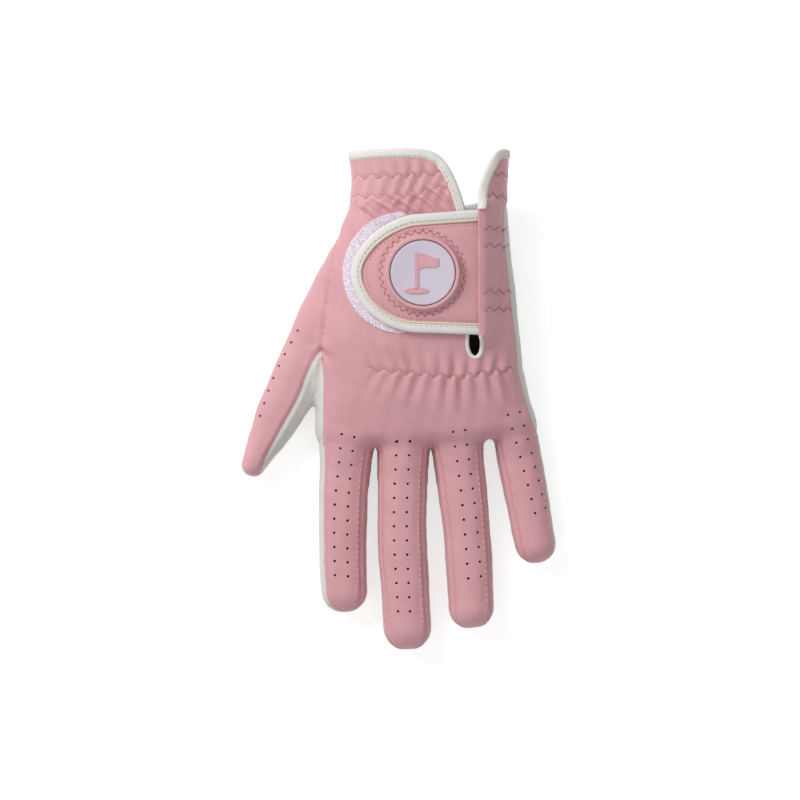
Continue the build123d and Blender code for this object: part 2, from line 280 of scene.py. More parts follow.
@dataclass(frozen=True)
class Digit:
    """A finger or the thumb: where it leaves the hand, which way it goes, and its sections."""

    name: str
    base: tuple[float, float]
    angle: float
    length: float
    stations: tuple[tuple[float, float, float], ...]  # distance from the base, width, height
    bend: tuple[tuple[float, float], ...] = ((0.0, 0.0), (100.0, 0.0))  # sideways drift of the middle line
    power: float = 2.3

    def local(self, p: Array) -> tuple[Array, Array, Array]:
        """Distance along the digit, across it, and height, of points."""
        turn = math.radians(self.angle)
        dx, dy = p[..., 0] - self.base[0], p[..., 1] - self.base[1]
        along = dx * math.sin(turn) - dy * math.cos(turn)
        across = dx * math.cos(turn) + dy * math.sin(turn)
        drift = np.interp(along, *zip(*self.bend))
        return along, across - drift, p[..., 2]

    def place(self, along: float, across: float) -> tuple[float, float]:
        """Plan place of a point given along and across the digit."""
        turn = math.radians(self.angle)
        across += float(np.interp(along, *zip(*self.bend)))
        x = self.base[0] + along * math.sin(turn) + across * math.cos(turn)
        y = self.base[1] - along * math.cos(turn) + across * math.sin(turn)
        return x, y

    def sizes(self, along: Array) -> tuple[Array, Array]:
        """Half width and half height at distances along the digit."""
        grid = np.linspace(self.stations[0][0], self.stations[-1][0], 120)
        at, width, height = zip(*self.stations)
        kernel = np.hanning(13) / np.hanning(13).sum()
        half = []
        for sizes in (width, height):
            row = np.pad(np.interp(grid, at, sizes), 6, mode="edge")
            half.append(np.interp(along, grid, np.convolve(row, kernel, mode="valid")) / 2)
        return half[0], half[1]

    def shares(self, p: Array) -> tuple[Array, Array, Array]:
        """Places of points as shares of the section: across, up and into the rounded tip."""
        along, across, up = self.local(p)
        a, b = self.sizes(along)
        tip_round = float(self.sizes(np.array([self.length]))[0])
        reach = np.maximum(0.0, along - (self.length - tip_round)) / tip_round
        return across / a, (up - b) / b, reach

    def field(self, p: Array) -> Array:
        """Distance-like field of the digit, negative inside."""
        u, v, w = self.shares(p)
        along = self.local(p)[0]
        back = np.maximum(0.0, self.stations[0][0] - along) / 8.0
        q = np.abs(u) ** self.power + np.abs(v) ** self.power + w ** self.power + back ** self.power
        return (q ** (1 / self.power) - 1) * np.minimum(*self.sizes(along))

    def seam(self, p: Array, left: float, right: float) -> Array:
        """Field that is positive on the back of the digit, between its two seams.

        Args:
            p: Points to judge.
            left: Angle of the left seam up from that side, in degrees.
            right: Angle of the right seam.

        Returns:
            One number for each point.
        """
        u, v, w = self.shares(p)
        values = []
        for side, angle in ((-1, left), (1, right)):
            turn = math.radians(angle)
            values.append(v * math.cos(turn) - side * u * math.sin(turn))
        values.append(v + 0.36 * w)
        return np.minimum.reduce(values) * self.sizes(self.local(p)[0])[1]


@dataclass(frozen=True)
class Hand:
    """The palm and back of the hand, from the cuff to the finger bases."""

    stations: tuple[tuple[float, float, float, float], ...] = (
        (101.0, -19.0, 41.3, 37.0),
        (92.0, -18.2, 41.2, 36.8),
        (83.0, -17.5, 40.8, 36.6),
        (71.0, -18.4, 40.4, 36.3),
        (58.0, -24.4, 41.6, 35.6),
        (47.0, -28.0, 42.8, 35.0),
        (22.0, -29.3, 45.4, 33.4),
        (0.0, -29.4, 47.0, 28.6),
        (-14.0, -29.8, 48.8, 23.6),
        (-30.0, -30.0, 54.0, 19.0),
    )
    power: float = 3.0
    end_round: float = 7.0
    # Each seam line is a row of places along the hand and across it.
    thumb_seam: tuple[tuple[float, float], ...] = ((-17.0, -28.2), (8.0, -28.0), (15.0, -28.6), (22.0, -36.0))
    little_seam: tuple[tuple[float, float], ...] = (
        (-15.6, 52.7), (-6.6, 49.5), (2.4, 46.8), (11.4, 44.5), (23.4, 43.6), (35.4, 42.0), (47.4, 40.8),
        (59.4, 39.3), (71.4, 39.2), (74.0, 41.5), (80.0, 46.0))

    def sizes(self, y: Array) -> tuple[Array, Array, Array]:
        """Middle, half width and half height at places along the hand."""
        rows = np.array(self.stations)[::-1]
        grid = np.linspace(rows[0, 0], rows[-1, 0], 160)
        kernel = np.hanning(11) / np.hanning(11).sum()
        out = []
        for column in (1, 2, 3):
            row = np.pad(np.interp(grid, rows[:, 0], rows[:, column]), 5, mode="edge")
            out.append(np.interp(y, grid, np.convolve(row, kernel, mode="valid")))
        left, right, height = out
        return (left + right) / 2, (right - left) / 2, height / 2

    def shares(self, p: Array) -> tuple[Array, Array]:
        """Places of points as shares of the section: across and up."""
        middle, half, tall = self.sizes(p[..., 1])
        return (p[..., 0] - middle) / half, (p[..., 2] - tall) / tall

    def field(self, p: Array, finger_line: Array) -> Array:
        """Distance-like field of the hand, negative inside.

        Args:
            p: Points to judge.
            finger_line: How far each point lies past the line of finger bases.

        Returns:
            One number for each point.
        """
        u, v = self.shares(p)
        tall = self.sizes(p[..., 1])[2]
        beyond = np.maximum(0.0, finger_line + self.end_round) / self.end_round
        q = np.abs(u) ** self.power + np.abs(v) ** self.power + beyond ** self.power
        return (q ** (1 / self.power) - 1) * tall

    def seam(self, p: Array) -> Array:
        """Field that is positive on the back, inside the seam lines and above the middle height."""
        tall = self.sizes(p[..., 1])[2]
        left, right = (np.interp(p[..., 1], *zip(*rows)) for rows in (self.thumb_seam, self.little_seam))
        return np.minimum.reduce([p[..., 0] - left, right - p[..., 0], p[..., 2] - 0.8 * tall])


def finger_stations(width: Sequence[float], height: Sequence[float], length: float) -> tuple:
    """Sections of a finger from its root inside the hand to its end.

    Args:
        width: Width at the base, a sixth of the way, about half way and at the end.
        height: Height at the same places.
        length: The finger's length.

    Returns:
        Distance from the base, width and height of each section.
    """
    shares = (-0.35, 0.0, 0.16, 0.45, 1.0)
    wide = (width[0], width[0], width[1], width[2], width[3])
    tall = (height[0], height[0], height[1], height[2], height[3])
    return tuple((share * length, w, h) for share, w, h in zip(shares, wide, tall))


FINGERS = (
    Digit("index", (-19.3, -16.66), -1.4, 62.6,
          finger_stations((20.4, 18.6, 17.8, 17.0), (21.8, 18.8, 17.4, 15.4), 62.6),
          bend=((0.0, -0.2), (11.0, -0.7), (20.0, -1.0), (32.0, -0.9), (44.0, -0.5), (56.0, 0.2))),
    Digit("middle", (1.6, -16.67), 1.4, 76.8,
          finger_stations((19.6, 18.2, 18.2, 17.4), (22.0, 19.0, 18.0, 15.8), 76.8),
          bend=((0.0, 0.3), (20.0, -0.6), (32.0, -1.1), (44.0, -0.8), (56.0, -0.4), (68.0, 0.1))),
    Digit("ring", (22.0, -15.75), 3.8, 69.8,
          finger_stations((19.4, 18.4, 17.4, 16.8), (21.6, 18.6, 17.4, 15.4), 69.8),
          bend=((0.0, 0.0), (9.0, 0.3), (27.0, 1.3), (39.0, 1.5), (57.0, 1.4), (70.0, 1.0))),
    Digit("little", (43.9, -13.47), 10.5, 47.9,
          ((-16.8, 11.0, 18.0), (-2.0, 16.4, 20.4), (7.7, 16.6, 17.4), (21.6, 15.9, 16.0),
           (47.9, 14.9, 14.4))),
)
THUMB = Digit(
    "thumb", (-32.1, 20.3), -26.4, 54.0,
    ((-40.0, 14.0, 26.0), (-26.0, 20.0, 25.6), (-12.0, 21.4, 24.4), (0.0, 19.8, 22.0), (16.0, 18.4, 19.4),
     (30.0, 17.0, 17.6), (40.0, 13.2, 16.2), (48.0, 9.4, 15.0), (54.0, 7.0, 14.0)),
    bend=((0.0, 0.0), (34.0, 0.0), (54.0, -0.3)),
)
FINGER_BLEND = (0.5, 14.0)  # distances from its base between which a finger would start to follow its joint; nothing is bent
THUMB_BLEND = ((-30.4, 0.9), (-47.0, -11.6))  # the thumb would start to follow its joint past its crotch; nothing is bent


FOLD = ((29.3, 25.4), (34.9, 69.8))  # lowest and highest corner of the fold over the tab's root
MARKER_PLACE = (9.0, 47.4)  # middle of the ball marker in plan


# ------------------------------------------------------------------ the glove's own surface
@dataclass(frozen=True)
class Openings:
    """Edges of the leather at the wrist, in plan."""

    vee: tuple[tuple[float, float], ...] = (
        (-70.0, 92.4), (-18.0, 92.4), (-4.0, 93.2), (8.0, 93.2), (12.6, 92.2), (16.6, 89.4), (20.0, 84.0),
        (22.8, 77.0), (24.9, 70.0), (25.9, 58.0), (26.6, 40.0), (26.4, 28.0), (25.8, 23.6), (25.9, 18.6),
        (28.2, 15.2), (30.6, 17.2), (30.8, 21.6), (29.6, 25.4), (29.4, 40.0), (29.4, 60.0), (29.4, 72.0),
        (30.3, 79.0), (31.9, 84.0), (34.6, 89.4), (36.8, 93.0), (41.0, 93.4), (70.0, 93.4),
    )
    scoop: tuple[tuple[float, float], ...] = (
        (-70.0, 92.4), (-19.0, 92.4), (-6.0, 91.0), (2.0, 84.0), (11.0, 75.5), (20.0, 72.8), (29.0, 73.4),
        (36.0, 77.0), (41.0, 86.0), (44.0, 93.4), (70.0, 93.4),
    )

    def back(self, p: Array) -> Array:
        """Distance inside the back panel's edge, positive on leather."""
        path = rounded_path(self.vee) + [(70.0, 140.0), (-70.0, 140.0)]
        return outline_distance(p[..., 0], p[..., 1], path)

    def palm(self, p: Array) -> Array:
        """Distance inside the palm panel's edge, positive on leather."""
        path = rounded_path(self.scoop) + [(70.0, 140.0), (-70.0, 140.0)]
        return outline_distance(p[..., 0], p[..., 1], path)


@dataclass(frozen=True)
class Gathers:
    """Ruched leather along an elastic row: a groove with short folds running off it both ways."""

    path: tuple[tuple[float, float], ...]  # the row, from left to right
    pitch: float
    depth: float
    above: float  # how far the folds run towards the wrist
    below: float  # and towards the fingers
    lean: float = 0.0  # sideways run of the folds, per length
    swing: float = 2.1  # width of the zigzag
    strong: tuple[float, float] = (0.0, 1000.0)  # place and width of the strongest folds

    def row(self, x: Array) -> Array:
        """The zigzag row's place along the hand."""
        px, py = zip(*self.path)
        return np.interp(x, px, py) + self.swing * (np.abs(x / self.pitch % 1 * 2 - 1) - 0.5)

    def height(self, x: Array, y: Array) -> Array:
        """Rise of the leather at plan places."""
        first, last = self.path[0][0], self.path[-1][0]
        off = y - self.row(x)
        fade = np.exp(-((off / np.where(off > 0, self.above, self.below)) ** 2))
        fade *= 0.75 + 0.25 * np.sin(x * 0.37 + 0.4)
        ends = smooth_step(x, first - 2, first + 3) * (1 - smooth_step(x, last - 3, last + 2))
        fan = np.where(off < 0, (x - self.strong[0]) / 60.0, -(x - self.strong[0]) / 90.0)
        wave = (x + off * (self.lean + fan)) / self.pitch
        fold = np.where(off > 0, -1.0, 1.0) * np.cos(2 * math.pi * wave)
        fold = np.where(fold < 0, -np.abs(fold) ** 1.6, np.abs(fold) ** 0.9)
        strength = 0.5 + 0.5 * bell(x - self.strong[0], self.strong[1])
        soft = smooth_step(np.abs(off), 0.0, 1.4)
        return ends * (self.depth * fade * fold * strength * soft - 0.5 * bell(off, 0.8))

    def stitch_ends(self, steps: int = 3) -> list[tuple[float, float]]:
        """Plan places where the row's thread dips, with some steps to each leg of the zigzag."""
        step = self.pitch / (2 * steps)
        first, last = (math.ceil(place[0] / step) for place in (self.path[0], self.path[-1]))
        at = np.arange(first, last) * step
        return list(zip(at, self.row(at)))


@dataclass(frozen=True)
class Crease:
    """One soft fold of the leather: a ridge or a valley along a line in plan."""

    start: tuple[float, float]
    end: tuple[float, float]
    rise: float
    width: float

    def height(self, x: Array, y: Array) -> Array:
        """Rise of the leather at plan places."""
        dx, dy = self.end[0] - self.start[0], self.end[1] - self.start[1]
        length = math.hypot(dx, dy)
        t = ((x - self.start[0]) * dx + (y - self.start[1]) * dy) / length ** 2
        off = ((x - self.start[0]) * -dy + (y - self.start[1]) * dx) / length
        bow = 0.8 * np.sin(np.clip(t, 0, 1) * math.pi)
        return self.rise * bell((off - bow) / self.width, 1.0) * smooth_step(t, -0.1, 0.35) * (
            1 - smooth_step(t, 0.6, 1.1))


class Form:
    """The whole glove as one smooth surface, before it is cut into panels."""

    pitch = 0.75
    low = (-66.0, -99.0, -4.0)
    high = (60.0, 103.0, 42.0)
    seam_angles = {"index": (37.0, 43.0), "middle": (34.0, 40.0), "ring": (42.0, 37.0),
                   "little": (43.0, 20.0)}
    knuckle_corner = (-30.0, -16.4)  # thumb-side end of the line of finger bases
    finger_slots = (21.4, 20.4, 20.4, 19.6)  # stretch of that line that each finger takes
    side_lift = 4.3  # rise of the side panel over the tab's root
    wrist_rows = (
        Gathers(((-17.2, 83.2), (0.0, 83.4), (17.5, 84.6)), 5.0, 0.75, 5.0, 3.4, strong=(10.0, 16.0)),
        Gathers(((-17.2, 76.0), (0.0, 75.8), (19.6, 80.0)), 5.0, 0.8, 3.2, 6.0, lean=-0.45,
                strong=(8.0, 16.0)),
        Gathers(((34.5, 84.2), (41.5, 84.2)), 3.2, 0.3, 2.0, 2.5, swing=1.8),
        Gathers(((32.5, 76.6), (41.0, 75.6)), 3.2, 0.3, 2.5, 3.0, swing=1.8),
        Gathers(((31.5, 64.0), (41.0, 64.0)), 3.4, 0.3, 3.0, 3.0, swing=1.8),
        Gathers(((31.5, 57.5), (41.5, 57.5)), 3.4, 0.3, 3.0, 3.0, swing=1.8),
        Gathers(((31.5, 40.5), (42.0, 40.5)), 3.4, 0.3, 3.0, 3.0, swing=1.8),
        Gathers(((31.5, 34.0), (42.5, 34.0)), 3.4, 0.3, 3.0, 3.0, swing=1.8),
    )
    knuckle_rows = (
        Gathers(((-11.5, 12.0), (6.0, 10.2), (22.0, 8.8), (44.0, 12.0)), 5.2, 1.0, 6.0, 9.0,
                strong=(23.0, 16.0)),
    )
    creases = (
        Crease((-16.5, 75.5), (-4.0, 64.0), 1.5, 1.5),
        Crease((-15.8, 72.0), (-5.0, 62.0), -1.1, 0.9),
        Crease((-9.5, 75.5), (4.0, 65.5), 1.5, 1.4),
        Crease((-10.5, 73.6), (2.0, 64.6), -1.2, 0.8),
        Crease((-2.0, 76.0), (10.0, 67.5), 1.4, 1.2),
        Crease((-3.4, 74.6), (7.5, 66.8), -1.2, 0.7),
        Crease((5.0, 77.5), (16.0, 69.0), 1.3, 1.1),
        Crease((3.4, 76.6), (13.5, 68.6), -1.1, 0.7),
        Crease((12.0, 78.5), (20.0, 71.0), 1.1, 1.0),
        Crease((10.6, 77.8), (18.4, 70.4), -1.0, 0.7),
        Crease((-20.5, 70.0), (-14.0, 58.5), 0.8, 2.0),
        Crease((-32.0, 21.0), (-25.0, 13.0), -0.8, 1.3),
        Crease((-34.0, 18.0), (-27.5, 19.5), 0.7, 1.3),
        Crease((-31.0, 26.0), (-26.0, 17.0), 0.6, 1.4),
        Crease((-28.0, 36.0), (-24.5, 24.0), 0.4, 2.2),
        Crease((-25.5, -8.0), (-12.0, -13.0), -0.35, 2.4),
        Crease((0.0, -4.0), (5.0, -20.0), 0.35, 2.6),
        Crease((20.0, -2.0), (26.0, -18.0), 0.35, 2.6),
        Crease((34.0, 30.0), (40.0, 16.0), 0.6, 2.0),
        Crease((-8.0, 22.0), (2.0, 14.0), 0.35, 2.2),
    )

    def __init__(self) -> None:
        """Work out the finger line and the surface with its relief."""
        self.hand = Hand()
        self.openings = Openings()
        self.line = [self.knuckle_corner]
        for digit, slot in zip(FINGERS, self.finger_slots):
            turn = math.radians(digit.angle)
            x, y = self.line[-1]
            self.line.append((x + slot * math.cos(turn), y + slot * math.sin(turn)))
        self.plain = self.surface()
        self.drop_tree = self.tree(self.plain)
        self.sheet = self.relieved(self.plain)
        self.tree_top = self.tree(self.sheet)

    def past_fingers(self, p: Array) -> Array:
        """How far points lie past the line of finger bases."""
        return np.interp(p[..., 0], [a for a, _ in self.line], [b for _, b in self.line]) - p[..., 1]

    def field(self, p: Array) -> Array:
        """Distance-like field of the whole glove, negative inside."""
        whole = self.hand.field(p, self.past_fingers(p))
        fingers = None
        for digit in FINGERS:
            value = digit.field(p)
            fingers = value if fingers is None else smooth_min(fingers, value, 1.0)
        whole = smooth_min(whole, fingers, 4.5)
        return smooth_min(whole, THUMB.field(p), 3.2)

    def gradient(self, p: Array) -> Array:
        """Outward unit normals of the field at points."""
        step = 0.25
        parts = []
        for axis in range(3):
            shift = np.zeros(3)
            shift[axis] = step
            parts.append(self.field(p + shift) - self.field(p - shift))
        slope = np.stack(parts, -1)
        return unit(slope)

    def surface(self) -> Sheet:
        """The smooth form as triangles, moved exactly onto the field's zero."""
        axes = [np.arange(a, b, self.pitch) for a, b in zip(self.low, self.high)]
        values = np.empty([len(a) for a in axes], np.float32)
        for i, x in enumerate(axes[0]):
            yy, zz = np.meshgrid(axes[1], axes[2], indexing="ij")
            values[i] = self.field(np.stack([np.full_like(yy, x), yy, zz], -1))
        grid = openvdb.FloatGrid(9.0)
        grid.copyFromArray(np.ascontiguousarray(values))
        points, quads = grid.convertToQuads(isovalue=0.0)
        p = points.astype(float) * self.pitch + np.array(self.low)
        for _ in range(3):
            step = 0.2
            value = self.field(p)
            normal = self.gradient(p)
            slope = (self.field(p + normal * step) - self.field(p - normal * step)) / (2 * step)
            p = p - normal * np.clip(value / np.maximum(slope, 0.2), -0.5, 0.5)[:, None]
        normal = self.gradient(p)
        faces = np.concatenate([quads[:, [0, 1, 2]], quads[:, [0, 2, 3]]]).astype(int)
        a, b, c = (p[faces[:, k]] for k in range(3))
        facing = np.einsum("ij,ij->i", np.cross(b - a, c - a), normal[faces[:, 0]])
        if np.median(facing) < 0:
            faces = faces[:, ::-1]
        return Sheet(p, faces, normal)

    def relief(self, p: Array, normal: Array) -> Array:
        """Rise of the leather along its normal: gathers, creases, seams and soft unevenness."""
        x, y = p[:, 0], p[:, 1]
        upward = smooth_step(normal[:, 2], 0.05, 0.5)
        rise = np.zeros(len(p))
        for row in self.wrist_rows + self.knuckle_rows + self.creases:
            rise += row.height(x, y) * upward
        wander = (np.sin(x * 0.31 + 0.7 * np.sin(y * 0.17)) * np.sin(y * 0.23 + 1.3 * np.sin(x * 0.11))
                  + 0.5 * np.sin(x * 0.73 + y * 0.41) * np.sin(y * 0.57 - x * 0.29 + p[:, 2] * 0.3))
        rise += 0.14 * wander * smooth_step(p[:, 2], 1.0, 5.0)
        for seam in self.seams(p):
            rise -= 0.55 * bell(seam, 0.6) * smooth_step(p[:, 2], 0.8, 3.0)
            rise += 0.24 * bell(np.abs(seam) - 1.5, 0.8)
        return rise

    def seams(self, p: Array) -> list[Array]:
        """Distance-like fields that are zero along each seam that sinks into the leather."""
        past = self.past_fingers(p)
        on_hand = smooth_step(-past, -2.0, 2.0)
        thumb = self.thumb_side(p)
        far_off = 50.0
        fields = [np.where(thumb < 0, self.hand.seam(p) + far_off * (1 - on_hand), far_off)]
        for digit in FINGERS:
            along, across, _ = digit.local(p)
            near = (along > 1.0) & (np.abs(across) < 13)
            fields.append(np.where(near, digit.seam(p, *self.seam_angles[digit.name]), far_off))
            fields.append(np.where(near, self.low_seam(digit, p), far_off))
        fields.append(np.where(p[:, 1] > 2.0, thumb, far_off))
        fields.append(np.where(thumb > 0, self.thumb_seam(p), far_off))
        return fields

    def low_seam(self, digit: Digit, p: Array) -> Array:
        """Field that is positive above the seam between a fourchette and the palm side."""
        u, v, w = digit.shares(p)
        return (v + 0.38 + 0.1 * w) * digit.sizes(digit.local(p)[0])[1]

    def thumb_side(self, p: Array) -> Array:
        """Field that is positive on the thumb's own pieces."""
        outline = rounded_path(((-21.0, 70.0), (-22.4, 64.0), (-24.6, 53.0), (-26.8, 38.0), (-28.4, 24.0),
                                (-29.2, 12.0), (-30.4, 2.5), (-31.4, -1.5), (-32.4, -7.0), (-32.6, -40.0)))
        return -outline_distance(p[:, 0], p[:, 1], outline + [(-90.0, -40.0), (-90.0, 70.0)])

    def thumb_seam(self, p: Array) -> Array:
        """Field that is positive on the thumb's back."""
        border = rounded_path(((-52.0, -60.0), (-53.0, -27.5), (-45.0, -12.0), (-37.2, 1.2), (-34.4, 10.0),
                               (-30.6, 17.0), (-26.0, 22.0), (-10.0, 30.0)), 2)
        plan = -outline_distance(p[:, 0], p[:, 1], border + [(-10.0, 110.0), (-90.0, 110.0), (-90.0, -60.0)])
        _, v, _ = THUMB.shares(p)
        return np.minimum(plan, (v + 0.12) * 9.0)

    def relieved(self, plain: Sheet) -> Sheet:
        """The surface with its relief and the side panel's lift, and fresh normals."""
        p = plain.points + plain.normals * self.relief(plain.points, plain.normals)[:, None]
        x, y, z = p.T
        lift = smooth_step(x, 27.6, 29.6) * (1 - smooth_step(x, 31.5, 39.5))
        lift = lift * smooth_step(y, 19.0, 24.0) * (1 - smooth_step(y, 71.0, 78.0))
        lift = lift * smooth_step(z, 18.0, 26.0)
        p = p + np.array([0.0, 0.0, 1.0]) * (self.side_lift * lift)[:, None]
        p[:, 2] = np.maximum(p[:, 2], 0.05)
        return Sheet(p, plain.faces, point_normals(p, plain.faces))

    def tree(self, sheet: Sheet) -> BVHTree:
        """Search tree of a sheet, for dropping points onto it."""
        return BVHTree.FromPolygons(sheet.points.tolist(), sheet.faces.tolist())

    def drop(self, x: float, y: float, plain: bool = False) -> tuple[Vector, Vector]:
        """The place and normal of the top surface under a plan place.

        Args:
            x: Place across, in millimetres.
            y: Place along.
            plain: Use the form without its relief.

        Returns:
            Place and outward normal.
        """
        tree = self.drop_tree if plain else self.tree_top
        hit, normal, _, _ = tree.ray_cast(Vector((x, y, 80.0)), Vector((0, 0, -1)))
        if hit is None:
            hit, normal, _, _ = tree.find_nearest(Vector((x, y, 10.0)))
        return hit, normal if normal.z > 0 else -normal


def point_normals(points: Array, faces: Array) -> Array:
    """Area-weighted unit normals at the points of a triangle mesh.

    Args:
        points: Places of the points.
        faces: Corner numbers of each triangle.

    Returns:
        One normal for each point.
    """
    a, b, c = (points[faces[:, k]] for k in range(3))
    face = np.cross(b - a, c - a)
    out = np.zeros_like(points)
    for k in range(3):
        np.add.at(out, faces[:, k], face)
    return unit(out, 1e-12)


# ------------------------------------------------------------------ finishes
class Num:
    """A number socket that takes part in Python arithmetic by adding Math nodes."""

    def __init__(self, graph: "Graph", socket: bpy.types.NodeSocket) -> None:
        """Wrap a socket of a graph."""
        self.graph, self.socket = graph, socket

    def _math(self, operation: str, *values: object) -> "Num":
        """One Math node over values."""
        return self.graph.node("ShaderNodeMath", {"operation": operation}, *values)

    def __add__(self, other: object) -> "Num":
        """Sum."""
        return self._math("ADD", self, other)

    def __radd__(self, other: object) -> "Num":
        """Sum with a plain number on the left."""
        return self._math("ADD", other, self)

    def __mul__(self, other: object) -> "Num":
        """Product."""
        return self._math("MULTIPLY", self, other)

    def clamped(self) -> "Num":
        """The value held between 0 and 1."""
        return self.graph.node("ShaderNodeClamp", {}, self)


class Graph:
    """A material's node tree."""

    def __init__(self, name: str) -> None:
        """Start a material with its shader and output."""
        self.material = bpy.data.materials.new(name)
        self.material.use_nodes = True
        self.tree = self.material.node_tree
        self.shader = self.tree.nodes["Principled BSDF"]
        self.place = self.node("ShaderNodeTexCoord", {}, output="Object")

    def node(self, kind: str, settings: dict, *values: object, output: str | int = 0, **named: object) -> Num:
        """Add one node.

        Args:
            kind: Node type.
            settings: Attributes set before its sockets.
            values: Values or links for its first sockets, in order.
            output: Which output to return.
            named: Values or links by socket name, with _ for a space.

        Returns:
            The chosen output.
        """
        node = self.tree.nodes.new(kind)
        for key, value in settings.items():
            setattr(node, key, value)
        pairs = list(zip(node.inputs, values))
        pairs += [(node.inputs[key.replace("_", " ")], value) for key, value in named.items()]
        for socket, value in pairs:
            if isinstance(value, Num):
                self.tree.links.new(value.socket, socket)
            elif value is not None:
                socket.default_value = value
        return Num(self, node.outputs[output])

    def noise(self, scale: float, detail: float = 3.0, rough: float = 0.5) -> Num:
        """Noise over the object, with features of about 1 / scale metres."""
        return self.node("ShaderNodeTexNoise", {}, Vector=self.place, Scale=scale, Detail=detail,
                         Roughness=rough)

    def cells(self, scale: float, feature: str = "F1") -> Num:
        """Cell distances over the object."""
        settings = {"feature": feature}
        return self.node("ShaderNodeTexVoronoi", settings, Vector=self.place, Scale=scale, output="Distance")

    def mix(self, share: Num, first: tuple, second: tuple | Num) -> Num:
        """Blend two colours."""
        node = self.tree.nodes.new("ShaderNodeMix")
        node.data_type = "RGBA"
        self.tree.links.new(share.socket, node.inputs["Factor"])
        for key, value in (("A", first), ("B", second)):
            socket = [s for s in node.inputs if s.name == key and s.type == "RGBA"][0]
            if isinstance(value, Num):
                self.tree.links.new(value.socket, socket)
            else:
                socket.default_value = (*value, 1.0)
        return Num(self, [s for s in node.outputs if s.type == "RGBA"][0])

    def ramp(self, value: Num, low: float, high: float) -> Num:
        """Stretch a value so that low becomes 0 and high becomes 1."""
        return self.node("ShaderNodeMapRange", {}, value, low, high, 0.0, 1.0)

    def finish(self, colour: Num, rough: Num, height: Num | None, depth: float,
               **sockets: float) -> bpy.types.Material:
        """Connect the shader.

        Args:
            colour: Base colour.
            rough: Roughness.
            height: Bump height, or None.
            depth: Bump distance in metres.
            sockets: Uniform values by socket name.

        Returns:
            The finished material.
        """
        self.tree.links.new(colour.socket, self.shader.inputs["Base Color"])
        self.tree.links.new(rough.socket, self.shader.inputs["Roughness"])
        if height is not None:
            bump = self.node("ShaderNodeBump", {}, Height=height, Distance=depth, Strength=1.0,
                             output="Normal")
            self.tree.links.new(bump.socket, self.shader.inputs["Normal"])
        for key, value in sockets.items():
            self.shader.inputs[key.replace("_", " ")].default_value = value
        return self.material


@dataclass(frozen=True)
class Leather:
    """Soft glove leather: fine pores, faint creases and small changes of colour."""

    name: str
    colour: tuple[float, float, float]
    shade: tuple[float, float, float]
    rough: float = 0.5
    grain: float = 0.00006

    def make(self) -> bpy.types.Material:
        """Build the material."""
        g = Graph(self.name)
        cloud = g.noise(70.0, 4.0)
        speck = g.noise(900.0, 2.0)
        pores = g.cells(1500.0)
        creases = g.cells(420.0, "DISTANCE_TO_EDGE")
        crease = g.ramp(creases, 0.0, 0.12)
        tone = g.ramp(cloud * 0.7 + speck * 0.3, 0.32, 0.68)
        colour = g.mix(tone, self.shade, self.colour)
        height = pores * 0.55 + crease * 0.3 + speck * 0.5
        rough = (self.rough - 0.06) + speck * 0.14
        return g.finish(colour, rough, height, self.grain, Sheen_Weight=0.06, Specular_IOR_Level=0.42)


@dataclass(frozen=True)
class Cloth:
    """Woven or brushed fabric."""

    name: str
    colour: tuple[float, float, float]
    shade: tuple[float, float, float]
    scale: float = 1400.0
    depth: float = 0.0002
    sheen: float = 0.3

    def make(self) -> bpy.types.Material:
        """Build the material."""
        g = Graph(self.name)
        fibres = g.noise(self.scale, 5.0, 0.7)
        loops = g.cells(self.scale * 0.8)
        tone = g.ramp(fibres, 0.3, 0.7)
        colour = g.mix(tone, self.shade, self.colour)
        return g.finish(colour, 0.8 + fibres * 0.15, loops * 0.6 + fibres, self.depth,
                        Sheen_Weight=self.sheen)


@dataclass(frozen=True)
class Enamel:
    """Smooth coloured coat over metal or rubber."""

    name: str
    colour: tuple[float, float, float]
    shade: tuple[float, float, float]
    rough: float = 0.3
    metallic: float = 0.0
    coat: float = 0.3

    def make(self) -> bpy.types.Material:
        """Build the material."""
        g = Graph(self.name)
        orange = g.noise(500.0, 2.0)
        wear = g.ramp(g.noise(160.0, 4.0), 0.3, 0.7)
        colour = g.mix(wear, self.shade, self.colour)
        return g.finish(colour, self.rough + orange * 0.1, orange, 0.00002, Metallic=self.metallic,
                        Coat_Weight=self.coat)


